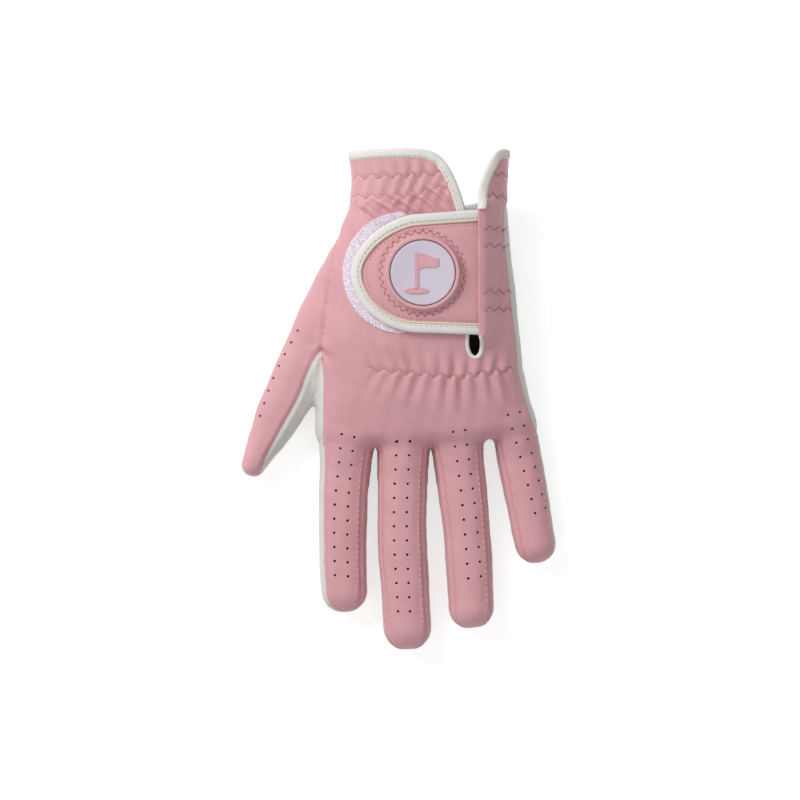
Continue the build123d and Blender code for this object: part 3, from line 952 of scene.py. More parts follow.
class Finish(Enum):
    """Every finish on the glove."""

    PINK = Leather("pink_leather", (0.76, 0.405, 0.435), (0.69, 0.35, 0.38))
    WHITE = Leather("white_leather", (0.78, 0.76, 0.72), (0.70, 0.68, 0.64))
    BINDING = Leather("white_binding", (0.86, 0.83, 0.80), (0.80, 0.77, 0.74), rough=0.55)
    CREAM = Leather("cream_piping", (0.82, 0.72, 0.58), (0.76, 0.65, 0.5), rough=0.55)
    # Back side of the leather: its dark brown is painted shade for the glove's shadowed inside.
    BACK_SIDE_SHADE = Leather("leather_back_painted_shade", (0.20, 0.10, 0.085), (0.13, 0.065, 0.055), rough=0.85)
    LOOP = Cloth("loop_fabric", (0.95, 0.88, 0.94), (0.88, 0.79, 0.88), depth=0.0001)
    HOOK = Cloth("hook_fabric", (0.74, 0.72, 0.74), (0.6, 0.58, 0.6), scale=1800.0)
    LINING = Cloth("lining_cloth", (0.50, 0.26, 0.28), (0.40, 0.2, 0.22), scale=2400.0)
    ELASTIC = Cloth("elastic_tape", (0.50, 0.27, 0.29), (0.42, 0.21, 0.23), scale=2000.0)
    PINK_THREAD = Cloth("pink_thread", (0.86, 0.55, 0.57), (0.70, 0.40, 0.43), scale=4000.0, depth=0.00005)
    # Rose thread for the zigzags and the holder's ring, darker than the leather: partly the thread's own
    # colour, partly painted shade for the dimples between stitches.
    ROSE_STITCH_SHADE = Cloth("rose_stitch_painted_shade", (0.56, 0.24, 0.27), (0.42, 0.16, 0.19), scale=4000.0, depth=0.00005)
    WHITE_THREAD = Cloth("white_thread", (0.66, 0.63, 0.58), (0.52, 0.49, 0.45), scale=4000.0, depth=0.00005)
    HOLDER = Enamel("holder_rubber", (0.78, 0.44, 0.47), (0.74, 0.40, 0.43), rough=0.45, coat=0.0)
    MARKER = Enamel("marker_enamel", (0.72, 0.65, 0.76), (0.69, 0.62, 0.73), rough=0.35)
    EMBLEM = Enamel("emblem_enamel", (0.80, 0.40, 0.45), (0.76, 0.37, 0.42), rough=0.3)
    MAGNET = Enamel("magnet_nickel", (0.62, 0.62, 0.64), (0.55, 0.55, 0.57), rough=0.25, metallic=1.0)


class Wardrobe:
    """Makes each finish once."""

    def __init__(self) -> None:
        """Start with none made."""
        self.made: dict[Finish, bpy.types.Material] = {}

    def get(self, finish: Finish) -> bpy.types.Material:
        """The material of a finish."""
        if finish not in self.made:
            self.made[finish] = finish.value.make()
        return self.made[finish]


# ------------------------------------------------------------------ meshes
def linked(name: str, data: bpy.types.ID) -> bpy.types.Object:
    """A new object in the scene, at the origin, that shows a mesh, lamp or camera."""
    thing = bpy.data.objects.new(name, data)
    bpy.context.scene.collection.objects.link(thing)
    return thing


def mesh_object(name: str, points: Array, faces: Sequence, finishes: Sequence[bpy.types.Material],
                slots: Array | None = None, sharp: float = 50.0) -> bpy.types.Object:
    """Make a Blender object from points in millimetres.

    Args:
        name: The piece's name.
        points: Places of the points.
        faces: Corner numbers of each face.
        finishes: Materials in slot order.
        slots: Slot number of each face, or None for the first.
        sharp: Angle past which an edge is drawn sharp, in degrees.

    Returns:
        The new object, at the origin.
    """
    mesh = bpy.data.meshes.new(name)
    mesh.from_pydata((np.asarray(points) * MM).tolist(), [], [list(map(int, f)) for f in faces])
    for finish in finishes:
        mesh.materials.append(finish)
    if slots is not None:
        mesh.polygons.foreach_set("material_index", np.asarray(slots, np.int32))
    mesh.polygons.foreach_set("use_smooth", np.ones(len(mesh.polygons), bool))
    mesh.update()
    mesh.set_sharp_from_angle(angle=math.radians(sharp))
    return linked(name, mesh)


def thickened(name: str, sheet: Sheet, outer: float | Array, inner: float | Array,
              finishes: Sequence[bpy.types.Material]) -> bpy.types.Object:
    """Give a sheet its thickness.

    Args:
        name: The piece's name.
        sheet: The surface.
        outer: Rise of the outer face, for all points or each.
        inner: Rise of the inner face, usually negative.
        finishes: Material of the outer face and edge, then of the inner face.

    Returns:
        A closed object.
    """
    count = len(sheet.points)
    top = sheet.points + sheet.normals * np.reshape(outer, (-1, 1))
    bottom = sheet.points + sheet.normals * np.reshape(inner, (-1, 1))
    edge = sheet.border()
    rim = np.stack([edge[:, 1], edge[:, 0], edge[:, 0] + count, edge[:, 1] + count], 1)
    faces = sheet.faces.tolist() + (sheet.faces[:, ::-1] + count).tolist() + rim.tolist()
    slots = np.zeros(len(faces), np.int32)
    slots[len(sheet.faces):2 * len(sheet.faces)] = len(finishes) - 1
    piece = mesh_object(name, np.concatenate([top, bottom]), faces, finishes, slots)
    corner = np.empty(len(piece.data.loops), np.int32)
    piece.data.loops.foreach_get("vertex_index", corner)
    both = np.concatenate([sheet.normals, -sheet.normals])[corner]
    both[6 * len(sheet.faces):] = 0.0
    piece.data.normals_split_custom_set(both.tolist())
    return piece


def swept(paths: Sequence[tuple[Array, Array, Array]], thick: float, sink: float) -> tuple[Array, list]:
    """Sweep a flat rounded band along edges, on the leather to their left.

    Args:
        paths: For each edge its points, the leather's normals and the band's width at each point.
        thick: Thickness of the band.
        sink: How far its middle lies below the leather's face.

    Returns:
        Points and faces, closed at the ends.
    """
    corners, lip, squareness = 14, 0.4, 2 / 2.6
    turns = np.linspace(0, 2 * math.pi, corners, endpoint=False)
    across = np.sign(np.cos(turns)) * np.abs(np.cos(turns)) ** squareness
    upward = np.sign(np.sin(turns)) * np.abs(np.sin(turns)) ** squareness
    points, faces, base = [], [], 0
    for path, ups, widths in paths:
        sides = left_of(path, ups)
        for p, u, s, w in zip(path, ups, sides, widths):
            points.append(p + s * (w / 2 - lip + across[:, None] * w / 2)
                          + u * (upward[:, None] * thick / 2 - sink))
        for i in range(len(path) - 1):
            for k in range(corners):
                m = (k + 1) % corners
                a, b = base + i * corners, base + (i + 1) * corners
                faces.append((a + k, a + m, b + m, b + k))
        last = base + (len(path) - 1) * corners
        faces.append(tuple(base + k for k in reversed(range(corners))))
        faces.append(tuple(last + k for k in range(corners)))
        base += len(path) * corners
    return np.concatenate(points), faces


def left_of(path: Array, ups: Array) -> Array:
    """Unit vectors that point left of a path as seen with its normals up.

    Args:
        path: Points of the path.
        ups: Normals at the points.

    Returns:
        One vector for each point.
    """
    along = np.gradient(path, axis=0)
    return unit(np.cross(ups, along))


def resampled(path: Array, ups: Array, pitch: float = 1.0, ease: int = 2) -> tuple[Array, Array]:
    """Space a path evenly and ease its corners, with its normals.

    Args:
        path: Points of the path.
        ups: Normals at the points.
        pitch: Distance between new points.
        ease: Rounds of smoothing.

    Returns:
        The new path and unit normals.
    """
    length = distances(path)
    at = np.linspace(0, length[-1], max(3, int(length[-1] / pitch) + 1))
    out = []
    for row in (path, ups):
        new = rows_at(at, length, row)
        for _ in range(ease):
            new[1:-1] = 0.5 * new[1:-1] + 0.25 * (new[:-2] + new[2:])
        out.append(new)
    return out[0], unit(out[1])


def lathe(name: str, profile: Sequence[tuple[float, float]], place: "Seat", finish: bpy.types.Material,
          corners: int = 96) -> bpy.types.Object:
    """Turn a profile about the seat's axis.

    Args:
        name: The piece's name.
        profile: Radius and height of each corner; it starts and ends on the axis, or closes on itself.
        place: Where it stands.
        finish: Its material.
        corners: Steps round the turn.

    Returns:
        The turned piece.
    """
    points, faces, rows = [], [], []
    for radius, height in profile:
        if radius < 1e-6:
            rows.append([len(points)])
            points.append(place.at(0, 0, height))
            continue
        rows.append(list(range(len(points), len(points) + corners)))
        for k in range(corners):
            turn = 2 * math.pi * k / corners
            points.append(place.at(radius * math.cos(turn), radius * math.sin(turn), height))
    closed = profile[0][0] > 1e-6
    pairs = list(zip(rows, rows[1:] + rows[:1])) if closed else list(zip(rows, rows[1:]))
    for low, high in pairs:
        for k in range(corners):
            m = (k + 1) % corners
            ring = (low[k % len(low)], low[m % len(low)], high[m % len(high)], high[k % len(high)])
            faces.append(tuple(dict.fromkeys(ring)))
    return mesh_object(name, np.array(points), faces, [finish], sharp=35.0)


@dataclass(frozen=True)
class Seat:
    """A place with its own directions: middle, across, along and up."""

    middle: Array
    across: Array
    along: Array
    up: Array

    def at(self, x: float, y: float, z: float) -> Array:
        """Point given in the seat's own directions, in millimetres."""
        return self.middle + self.across * x + self.along * y + self.up * z


# ------------------------------------------------------------------ repeated details
class Sewing:
    """Geometry Nodes trees for stitches and loop pile."""

    def __init__(self, wardrobe: Wardrobe) -> None:
        """Build the trees once."""
        self.wardrobe = wardrobe
        self.stitch_tree = self.make_stitches()
        self.pile_tree = self.make_pile()

    @staticmethod
    def new_tree(name: str, inputs: Sequence[tuple[str, str, object]]) -> bpy.types.NodeTree:
        """An empty tree with a geometry input and output and named inputs."""
        tree = bpy.data.node_groups.new(name, "GeometryNodeTree")
        tree.interface.new_socket("Geometry", in_out="INPUT", socket_type="NodeSocketGeometry")
        for label, kind, value in inputs:
            socket = tree.interface.new_socket(label, in_out="INPUT", socket_type=kind)
            if value is not None:
                socket.default_value = value
        tree.interface.new_socket("Geometry", in_out="OUTPUT", socket_type="NodeSocketGeometry")
        return tree

    @staticmethod
    def add(tree: bpy.types.NodeTree, kind: str, settings: dict | None = None,
            **links: object) -> bpy.types.Node:
        """Add a node with its settings, then its sockets by name with _ for a space."""
        node = tree.nodes.new(kind)
        for key, value in (settings or {}).items():
            setattr(node, key, value)
        for key, value in links.items():
            socket = next(s for s in node.inputs if s.name == key.replace("_", " ") and s.enabled)
            if isinstance(value, bpy.types.NodeSocket):
                tree.links.new(value, socket)
            else:
                socket.default_value = value
        return node

    def close(self, tree: bpy.types.NodeTree, instances: bpy.types.NodeSocket,
              material: bpy.types.NodeSocket) -> None:
        """End a tree in Realize Instances and Set Material."""
        real = self.add(tree, "GeometryNodeRealizeInstances", Geometry=instances)
        done = self.add(tree, "GeometryNodeSetMaterial", Geometry=real.outputs[0], Material=material)
        end = tree.nodes.new("NodeGroupOutput")
        tree.links.new(done.outputs[0], end.inputs[0])

    def turned(self, tree: bpy.types.NodeTree, first: str, second: str) -> bpy.types.NodeSocket:
        """Rotation that lays X along one stored vector and Z along another."""
        vectors = [
            self.add(tree, "GeometryNodeInputNamedAttribute", {"data_type": "FLOAT_VECTOR"},
                     Name=name).outputs[0]
            for name in (first, second)
        ]
        one = self.add(tree, "FunctionNodeAlignRotationToVector", {"axis": "X"}, Vector=vectors[0])
        two = self.add(tree, "FunctionNodeAlignRotationToVector", {"axis": "Z", "pivot_axis": "X"},
                       Rotation=one.outputs[0], Vector=vectors[1])
        return two.outputs[0]

    def make_stitches(self) -> bpy.types.NodeTree:
        """Tree that lays a short rounded stitch on every point."""
        inputs = (("Length", "NodeSocketFloat", 1.6 * MM), ("Thread", "NodeSocketFloat", 0.2 * MM),
                  ("Material", "NodeSocketMaterial", None))
        tree = self.new_tree("stitches", inputs)
        start = tree.nodes.new("NodeGroupInput")
        ball = self.add(tree, "GeometryNodeMeshUVSphere", Segments=8, Rings=6, Radius=1.0)
        half = self.add(tree, "ShaderNodeMath", {"operation": "MULTIPLY"})
        tree.links.new(start.outputs["Length"], half.inputs[0])
        half.inputs[1].default_value = 0.5
        size = self.add(tree, "ShaderNodeCombineXYZ", X=half.outputs[0], Y=start.outputs["Thread"],
                        Z=start.outputs["Thread"])
        smooth = self.add(tree, "GeometryNodeSetShadeSmooth", Geometry=ball.outputs[0])
        rows = self.add(tree, "GeometryNodeInstanceOnPoints", Points=start.outputs[0],
                        Instance=smooth.outputs[0], Rotation=self.turned(tree, "run", "up"),
                        Scale=size.outputs[0])
        self.close(tree, rows.outputs[0], start.outputs["Material"])
        return tree

    def make_pile(self) -> bpy.types.NodeTree:
        """Tree that scatters small leaning loops of pile over a surface."""
        inputs = (("Density", "NodeSocketFloat", 2.0e6), ("Size", "NodeSocketFloat", 0.5 * MM),
                  ("Material", "NodeSocketMaterial", None))
        tree = self.new_tree("pile", inputs)
        start = tree.nodes.new("NodeGroupInput")
        scatter = self.add(tree, "GeometryNodeDistributePointsOnFaces", Mesh=start.outputs[0],
                           Density=start.outputs["Density"], Seed=4)
        knot = self.add(tree, "GeometryNodeMeshIcoSphere", Radius=1.0, Subdivisions=1)
        sway = self.add(tree, "FunctionNodeRandomValue", {"data_type": "FLOAT_VECTOR"}, Min=(0.35, 0.35, 0.7),
                        Max=(0.8, 0.8, 1.5), Seed=7)
        size = self.add(tree, "ShaderNodeVectorMath", {"operation": "SCALE"})
        tree.links.new(sway.outputs[0], size.inputs[0])
        tree.links.new(start.outputs["Size"], size.inputs["Scale"])
        rows = self.add(tree, "GeometryNodeInstanceOnPoints", Points=scatter.outputs[0],
                        Instance=knot.outputs[0], Rotation=scatter.outputs["Rotation"],
                        Scale=size.outputs[0])
        self.close(tree, rows.outputs[0], start.outputs["Material"])
        return tree

    def baked(self, piece: bpy.types.Object, tree: bpy.types.NodeTree, **values: object) -> bpy.types.Object:
        """Run a tree on an object and keep the result as its plain mesh.

        Args:
            piece: The object that holds the points or surface.
            tree: The tree.
            values: The tree's inputs by name.

        Returns:
            The same object with its new mesh.
        """
        modifier = piece.modifiers.new("details", "NODES")
        modifier.node_group = tree
        for item in tree.interface.items_tree:
            if getattr(item, "in_out", "") == "INPUT" and item.name in values:
                modifier[item.identifier] = values[item.name]
        bpy.context.view_layer.update()
        graph = bpy.context.evaluated_depsgraph_get()
        mesh = bpy.data.meshes.new_from_object(piece.evaluated_get(graph))
        piece.modifiers.remove(modifier)
        piece.data = mesh
        mesh.name = piece.name
        return piece

    def points(self, name: str, places: Array, runs: Array, ups: Array) -> bpy.types.Object:
        """Loose points that carry a run direction and an up direction."""
        mesh = bpy.data.meshes.new(name)
        mesh.from_pydata((np.asarray(places) * MM).tolist(), [], [])
        for label, rows in (("run", runs), ("up", ups)):
            layer = mesh.attributes.new(label, "FLOAT_VECTOR", "POINT")
            layer.data.foreach_set("vector", np.asarray(rows, np.float32).ravel())
        return linked(name, mesh)

    def stitches(self, name: str, segments: tuple[Array, Array, Array], thread: float,
                 finish: Finish) -> bpy.types.Object:
        """Lay one stitch along each segment.

        Args:
            name: The piece's name.
            segments: Start, end and upward direction of each stitch.
            thread: Half thickness of the thread.
            finish: The thread's finish.

        Returns:
            One mesh of stitches.
        """
        start, end, ups = segments
        run = end - start
        length = np.linalg.norm(run, axis=1)
        piece = self.points(name, (start + end) / 2, run / length[:, None], ups)
        return self.baked(piece, self.stitch_tree, Length=float(np.median(length)) * MM, Thread=thread * MM,
                          Material=self.wardrobe.get(finish))


# ------------------------------------------------------------------ courses over the leather
Course = tuple[Array, Array]  # points and the leather's normals under them


def course(form: Form, plan: Sequence[tuple[float, float]], rise: float, pitch: float = 0.8,
           plain: bool = False) -> Course:
    """Lay a plan path on the hand.

    Args:
        form: The glove's form.
        plan: Corners of the path in plan.
        rise: Height above the leather.
        pitch: Distance between points.
        plain: Follow the form without its relief.

    Returns:
        The path's points and normals.
    """
    flat = np.array(plan, float)
    total = plan_distances(flat)
    at = np.linspace(0, total[-1], max(2, int(total[-1] / pitch) + 1))
    places, ups = [], []
    for x, y in zip(np.interp(at, total, flat[:, 0]), np.interp(at, total, flat[:, 1])):
        place, normal = form.drop(x, y, plain)
        places.append(tuple(place + normal * rise))
        ups.append(tuple(normal))
    return resampled(np.array(places), np.array(ups), pitch, 1)


def shifted(run: Course, side: float, rise: float) -> Course:
    """Move a course to its left and up.

    Args:
        run: The course.
        side: Distance to its left.
        rise: Distance up.

    Returns:
        The moved course.
    """
    path, ups = run
    return path + left_of(path, ups) * side + ups * rise, ups


def dashes(runs: Sequence[Course], pitch: float, length: float) -> tuple[Array, Array, Array]:
    """Space stitches of one length evenly along courses.

    Args:
        runs: The courses.
        pitch: Distance from one stitch to the next.
        length: Length of a stitch.

    Returns:
        Start, end and upward direction of each stitch.
    """
    starts, ends, tops = [], [], []
    for path, ups in runs:
        total = distances(path)
        middle = np.arange(pitch / 2, total[-1], pitch)
        for rows, at in ((starts, middle - length / 2), (ends, middle + length / 2)):
            rows.append(rows_at(at, total, path))
        tops.append(rows_at(middle, total, ups))
    return np.concatenate(starts), np.concatenate(ends), np.concatenate(tops)


def zigzags(runs: Sequence[Course], period: float, swing: float,
            steps: int = 3) -> tuple[Array, Array, Array]:
    """Lay zigzag stitches along courses.

    Args:
        runs: The courses.
        period: Length of one zigzag.
        swing: Its width.
        steps: Stitches to each leg.

    Returns:
        Start, end and upward direction of each stitch.
    """
    starts, ends, tops = [], [], []
    for path, ups in runs:
        total = distances(path)
        at = np.arange(0, total[-1], period / (2 * steps))
        spot = rows_at(at, total, path)
        side = left_of(path, ups)
        out = rows_at(at, total, side)
        spot += out * (swing * (np.abs(at / period % 1 * 2 - 1) - 0.5))[:, None]
        starts.append(spot[:-1] + 0.1 * (spot[1:] - spot[:-1]))
        ends.append(spot[1:] - 0.1 * (spot[1:] - spot[:-1]))
        tops.append(rows_at(at[:-1], total, ups))
    return np.concatenate(starts), np.concatenate(ends), np.concatenate(tops)


def draped(form: Form, low: tuple[float, float], high: tuple[float, float], pitch: float,
           rise: Callable[[Array, Array], Array], plain: bool = True) -> Sheet:
    """A sheet laid over the smooth form.

    Args:
        form: The glove's form.
        low: Lowest corner in plan.
        high: Highest corner in plan.
        pitch: Distance between points.
        rise: Height above the form at plan places.
        plain: Follow the form without its relief.

    Returns:
        The sheet, square in plan.
    """
    xs, ys = np.arange(low[0], high[0] + pitch, pitch), np.arange(low[1], high[1] + pitch, pitch)
    xx, yy = np.meshgrid(xs, ys, indexing="ij")
    p = np.array([tuple(form.drop(x, y, plain)[0]) for x, y in zip(xx.ravel(), yy.ravel())])
    p[:, 0], p[:, 1] = xx.ravel(), yy.ravel()
    p[:, 2] += rise(p[:, 0], p[:, 1])
    index = np.arange(len(p)).reshape(xx.shape)
    a, b = index[:-1, :-1].ravel(), index[1:, :-1].ravel()
    c, d = index[1:, 1:].ravel(), index[:-1, 1:].ravel()
    faces = np.concatenate([np.stack([a, b, c], 1), np.stack([a, c, d], 1)])
    return Sheet(p, faces, point_normals(p, faces))


def punched(sheet: Sheet, places: Sequence[tuple[float, float]], radius: float) -> Sheet:
    """Punch round holes through the top of a sheet.

    Args:
        sheet: The leather.
        places: Middles of the holes in plan.
        radius: Radius of a hole.

    Returns:
        The sheet with its holes.
    """
    points, normals, faces = sheet.points, sheet.normals, sheet.faces
    corners = 12
    for x, y in places:
        off = np.hypot(points[:, 0] - x, points[:, 1] - y)
        near = (off < radius * 2.0) & (normals[:, 2] > 0.2)
        gone = near[faces].any(1)
        if not gone.any():
            continue
        loop = Sheet(points, faces[gone], normals).loops()[0][:-1]
        z = float(np.mean(points[loop, 2]))
        up = normals[loop].mean(0)
        up /= np.linalg.norm(up)
        turns = np.linspace(-math.pi, math.pi, corners, endpoint=False)
        ring = np.stack([x + radius * np.cos(turns), y + radius * np.sin(turns), np.full(corners, z)], 1)
        ring[:, 2] = z - ((ring[:, 0] - points[loop, 0].mean()) * up[0]
                          + (ring[:, 1] - points[loop, 1].mean()) * up[1]) / up[2]
        base = len(points)
        outer = np.arctan2(points[loop, 1] - y, points[loop, 0] - x)
        start = int(np.argmin(outer))
        loop = np.roll(loop, -start)
        outer = np.roll(outer, -start)
        fresh, i, j = [], 0, 0
        size = len(loop)
        while i < size or j < corners:
            next_outer = outer[i + 1] if i + 1 < size else math.inf
            next_inner = turns[j + 1] if j + 1 < corners else math.inf
            if j >= corners or (i < size and next_outer <= next_inner):
                fresh.append((loop[i % size], loop[(i + 1) % size], base + j % corners))
                i += 1
            else:
                fresh.append((loop[i % size], base + (j + 1) % corners, base + j % corners))
                j += 1
        points = np.concatenate([points, ring])
        normals = np.concatenate([normals, np.repeat(up[None], corners, 0)])
        faces = np.concatenate([faces[~gone], np.array(fresh)])
    return Sheet(points, faces, normals).packed()


# ------------------------------------------------------------------ sub-assemblies
class Fitter:
    """Hangs finished pieces on the frame."""

    def __init__(self) -> None:
        """Start an empty report."""
        self.count = 0

    def hang(self, piece: bpy.types.Object, slot: str, body: str, *nodes: str) -> bpy.types.Object:
        """Let a piece ride on one body.

        Args:
            piece: The piece.
            slot: Its material slot; not used.
            body: The body's name.
            nodes: CAD nodes that it stands for.

        Returns:
            The piece.
        """
        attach(piece, body)
        return self.note(piece, slot, nodes)

    def bend(self, piece: bpy.types.Object, slot: str, digit: Digit, *nodes: str) -> bpy.types.Object:
        """Bake a digit's piece in place, and report it.

        Args:
            piece: The piece.
            slot: Its material slot; not used.
            digit: The finger or thumb.
            nodes: CAD nodes that it stands for.

        Returns:
            The piece.
        """
        ends = [(*(c * MM for c in digit.place(along, 0.0)), 0.0) for along in FINGER_BLEND]
        if digit is THUMB:
            ends = [(c[0] * MM, c[1] * MM, 0.0) for c in THUMB_BLEND]
        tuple(ends[0])
        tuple(ends[1])
        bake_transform(piece)
        return self.note(piece, slot, nodes)

    def fold(self, piece: bpy.types.Object, slot: str, *nodes: str) -> bpy.types.Object:
        """Bake a piece of the tab in place, and report it.

        Args:
            piece: The piece.
            slot: Its material slot; not used.
            nodes: CAD nodes that it stands for.

        Returns:
            The piece.
        """
        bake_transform(piece)
        return self.note(piece, slot, nodes)

    def note(self, piece: bpy.types.Object, slot: str, nodes: Sequence[str]) -> bpy.types.Object:
        """Hide the nodes that a piece stands for, and report it."""
        if nodes:
            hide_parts(*nodes)
        self.count += 1
        log.info("%-28s %7d faces  %s", piece.name, len(piece.data.polygons), ", ".join(nodes))
        return piece


@dataclass(frozen=True)
class Holes:
    """A column of perforations along a path."""

    path: tuple[tuple[float, float], ...]
    count: int

    def places(self) -> list[tuple[float, float]]:
        """Middles of the holes, evenly spaced."""
        flat = np.array(rounded_path(self.path, 2))
        total = plan_distances(flat)
        at = np.linspace(0, total[-1], self.count)
        return list(zip(np.interp(at, total, flat[:, 0]), np.interp(at, total, flat[:, 1])))


@dataclass
class Panels:
    """The leather panels, their elastics and perforations."""

    form: Form
    wardrobe: Wardrobe
    fitter: Fitter
    leather: float = 0.8
    hole_radius: float = 0.5
    finger_start: float = -1.0  # the fingers' pieces start this far before the line of their bases
    holes: dict[str, tuple[Holes, ...]] = field(default_factory=lambda: {
        "index": (Holes(((-21.2, -12.6), (-22.3, -24.2), (-24.3, -41.4), (-23.8, -65.4)), 11),
                  Holes(((-16.5, -13.7), (-17.8, -25.3), (-19.3, -45.0), (-18.9, -65.8)), 11)),
        "middle": (Holes(((-0.6, -15.2), (-2.2, -45.0), (-0.2, -78.9)), 13),
                   Holes(((4.3, -15.2), (2.7, -45.0), (4.3, -78.9)), 13)),
        "ring": (Holes(((20.4, -11.8), (22.9, -29.1), (24.6, -45.9), (26.1, -66.6)), 11),
                 Holes(((24.9, -11.1), (27.2, -28.1), (29.4, -45.2), (30.9, -65.8)), 11)),
        "little": (Holes(((40.9, -5.4), (45.9, -21.9), (51.2, -42.2)), 8),
                   Holes(((45.4, -4.3), (50.1, -20.1), (55.3, -40.3)), 8)),
        "thumb": (Holes(((-37.7, 26.1), (-42.6, 17.4), (-47.1, 8.6), (-51.9, -5.8)), 8),),
    })

    def sew(self, name: str, sheet: Sheet, top: Finish, outer: float = 0.0,
            inner: float | None = None, under: Finish = Finish.BACK_SIDE_SHADE) -> bpy.types.Object:
        """Thicken a sheet of leather inwards.

        Args:
            name: The piece's name.
            sheet: Its outer surface.
            top: Finish of its face.
            outer: Rise of the face over the surface.
            inner: Rise of its back, or None for the thickness of the leather.
            under: Finish of its back.

        Returns:
            A closed piece.
        """
        inner = -self.leather if inner is None else inner
        finishes = [self.wardrobe.get(top), self.wardrobe.get(under)]
        return thickened(name, sheet, outer, inner, finishes)

    def all_holes(self) -> list[tuple[float, float]]:
        """Every perforation's middle."""
        return [place for columns in self.holes.values() for column in columns for place in column.places()]

    def build(self) -> None:
        """Cut, punch and thicken every panel."""
        form = self.form
        thumb, rest = form.sheet.split(form.thumb_side(form.sheet.points))
        fingers, hand = rest.split(form.past_fingers(rest.points) - self.finger_start)
        self.hand(hand)
        for k, digit in enumerate(FINGERS):
            sheet = fingers
            if k < len(FINGERS) - 1:
                turn = math.radians(0.5 * (digit.angle + FINGERS[k + 1].angle))
                x, y = form.line[k + 1]
                off_x, off_y = fingers.points[:, 0] - x, fingers.points[:, 1] - y
                across = off_x * math.cos(turn) + off_y * math.sin(turn)
                fingers, sheet = fingers.split(across)
            self.finger(digit, sheet)
        self.thumb(thumb)

    def hand(self, sheet: Sheet) -> None:
        """Back and palm of the hand, the fold over the tab's root, and the elastics under the back."""
        form = self.form
        back, palm = sheet.split(form.hand.seam(sheet.points))
        self.back, self.palm = back.cut(form.openings.back), palm.cut(form.openings.palm)
        p = self.back.points
        fold, panel = self.back.split(-outline_distance(p[:, 0], p[:, 1], plan_box(*FOLD)))
        panel = punched(panel, [(x, y) for x, y in self.all_holes() if x > -30], self.hole_radius)
        self.fitter.hang(self.sew("back_of_hand", panel, Finish.PINK), "pink_leather", "hand", "back_panel")
        self.fitter.hang(self.sew("fold_over_tab", fold, Finish.PINK), "pink_leather", "hand", "side_fold")
        self.fitter.hang(self.sew("palm_of_hand", self.palm, Finish.WHITE), "white_leather", "hand",
                         "palm_panel")
        tapes = {
            "wrist_elastic_thumb_side": (-14.0, 74.5, 14.0, 85.5),
            "wrist_elastic_little_side": (37.4, 74.5, 41.0, 85.5),
            "knuckle_elastic": (-17.0, 8.5, 39.0, 14.5),
        }
        for node, (x0, y0, x1, y1) in tapes.items():
            box = plan_box((x0, y0), (x1, y1))
            strip = self.back.cut(lambda q: -outline_distance(q[:, 0], q[:, 1], box))
            piece = self.sew(node + "_tape", strip, Finish.ELASTIC, -0.85, -1.45, Finish.ELASTIC)
            self.fitter.hang(piece, "elastic_tape", "hand", node)

    def finger(self, digit: Digit, sheet: Sheet) -> None:
        """Back, palm side and fourchettes of one finger."""
        form = self.form
        back, rest = sheet.split(digit.seam(sheet.points, *form.seam_angles[digit.name]))
        across = digit.local(rest.points)[1]
        side = {"index": across, "little": -across}.get(digit.name, np.full(len(across), 99.0))
        between, palm = rest.split(np.minimum(form.low_seam(digit, rest.points), side))
        back = punched(back, self.all_holes(), self.hole_radius)
        name = digit.name
        self.fitter.bend(self.sew(f"{name}_finger_back", back, Finish.PINK), "pink_leather", digit,
                         f"{name}_back")
        self.fitter.bend(self.sew(f"{name}_finger_palm", palm, Finish.WHITE), "white_leather", digit,
                         f"{name}_palm")
        outer, inner = between.split(digit.local(between.points)[1])
        for part, label in ((outer, "outer"), (inner, "inner")):
            node = f"{name}_fourchette_{label}"
            if (name, label) in (("index", "inner"), ("little", "outer")) or not len(part.faces):
                continue
            self.fitter.bend(self.sew(f"{node}_side", part, Finish.PINK), "pink_leather", digit, node)

    def thumb(self, sheet: Sheet) -> None:
        """Back and palm side of the thumb."""
        back, palm = sheet.split(self.form.thumb_seam(sheet.points))
        back = punched(back, self.all_holes(), self.hole_radius)
        self.fitter.bend(self.sew("thumb_top", back, Finish.PINK), "pink_leather", THUMB, "thumb_back")
        self.fitter.bend(self.sew("thumb_under", palm, Finish.WHITE), "white_leather", THUMB, "thumb_palm")


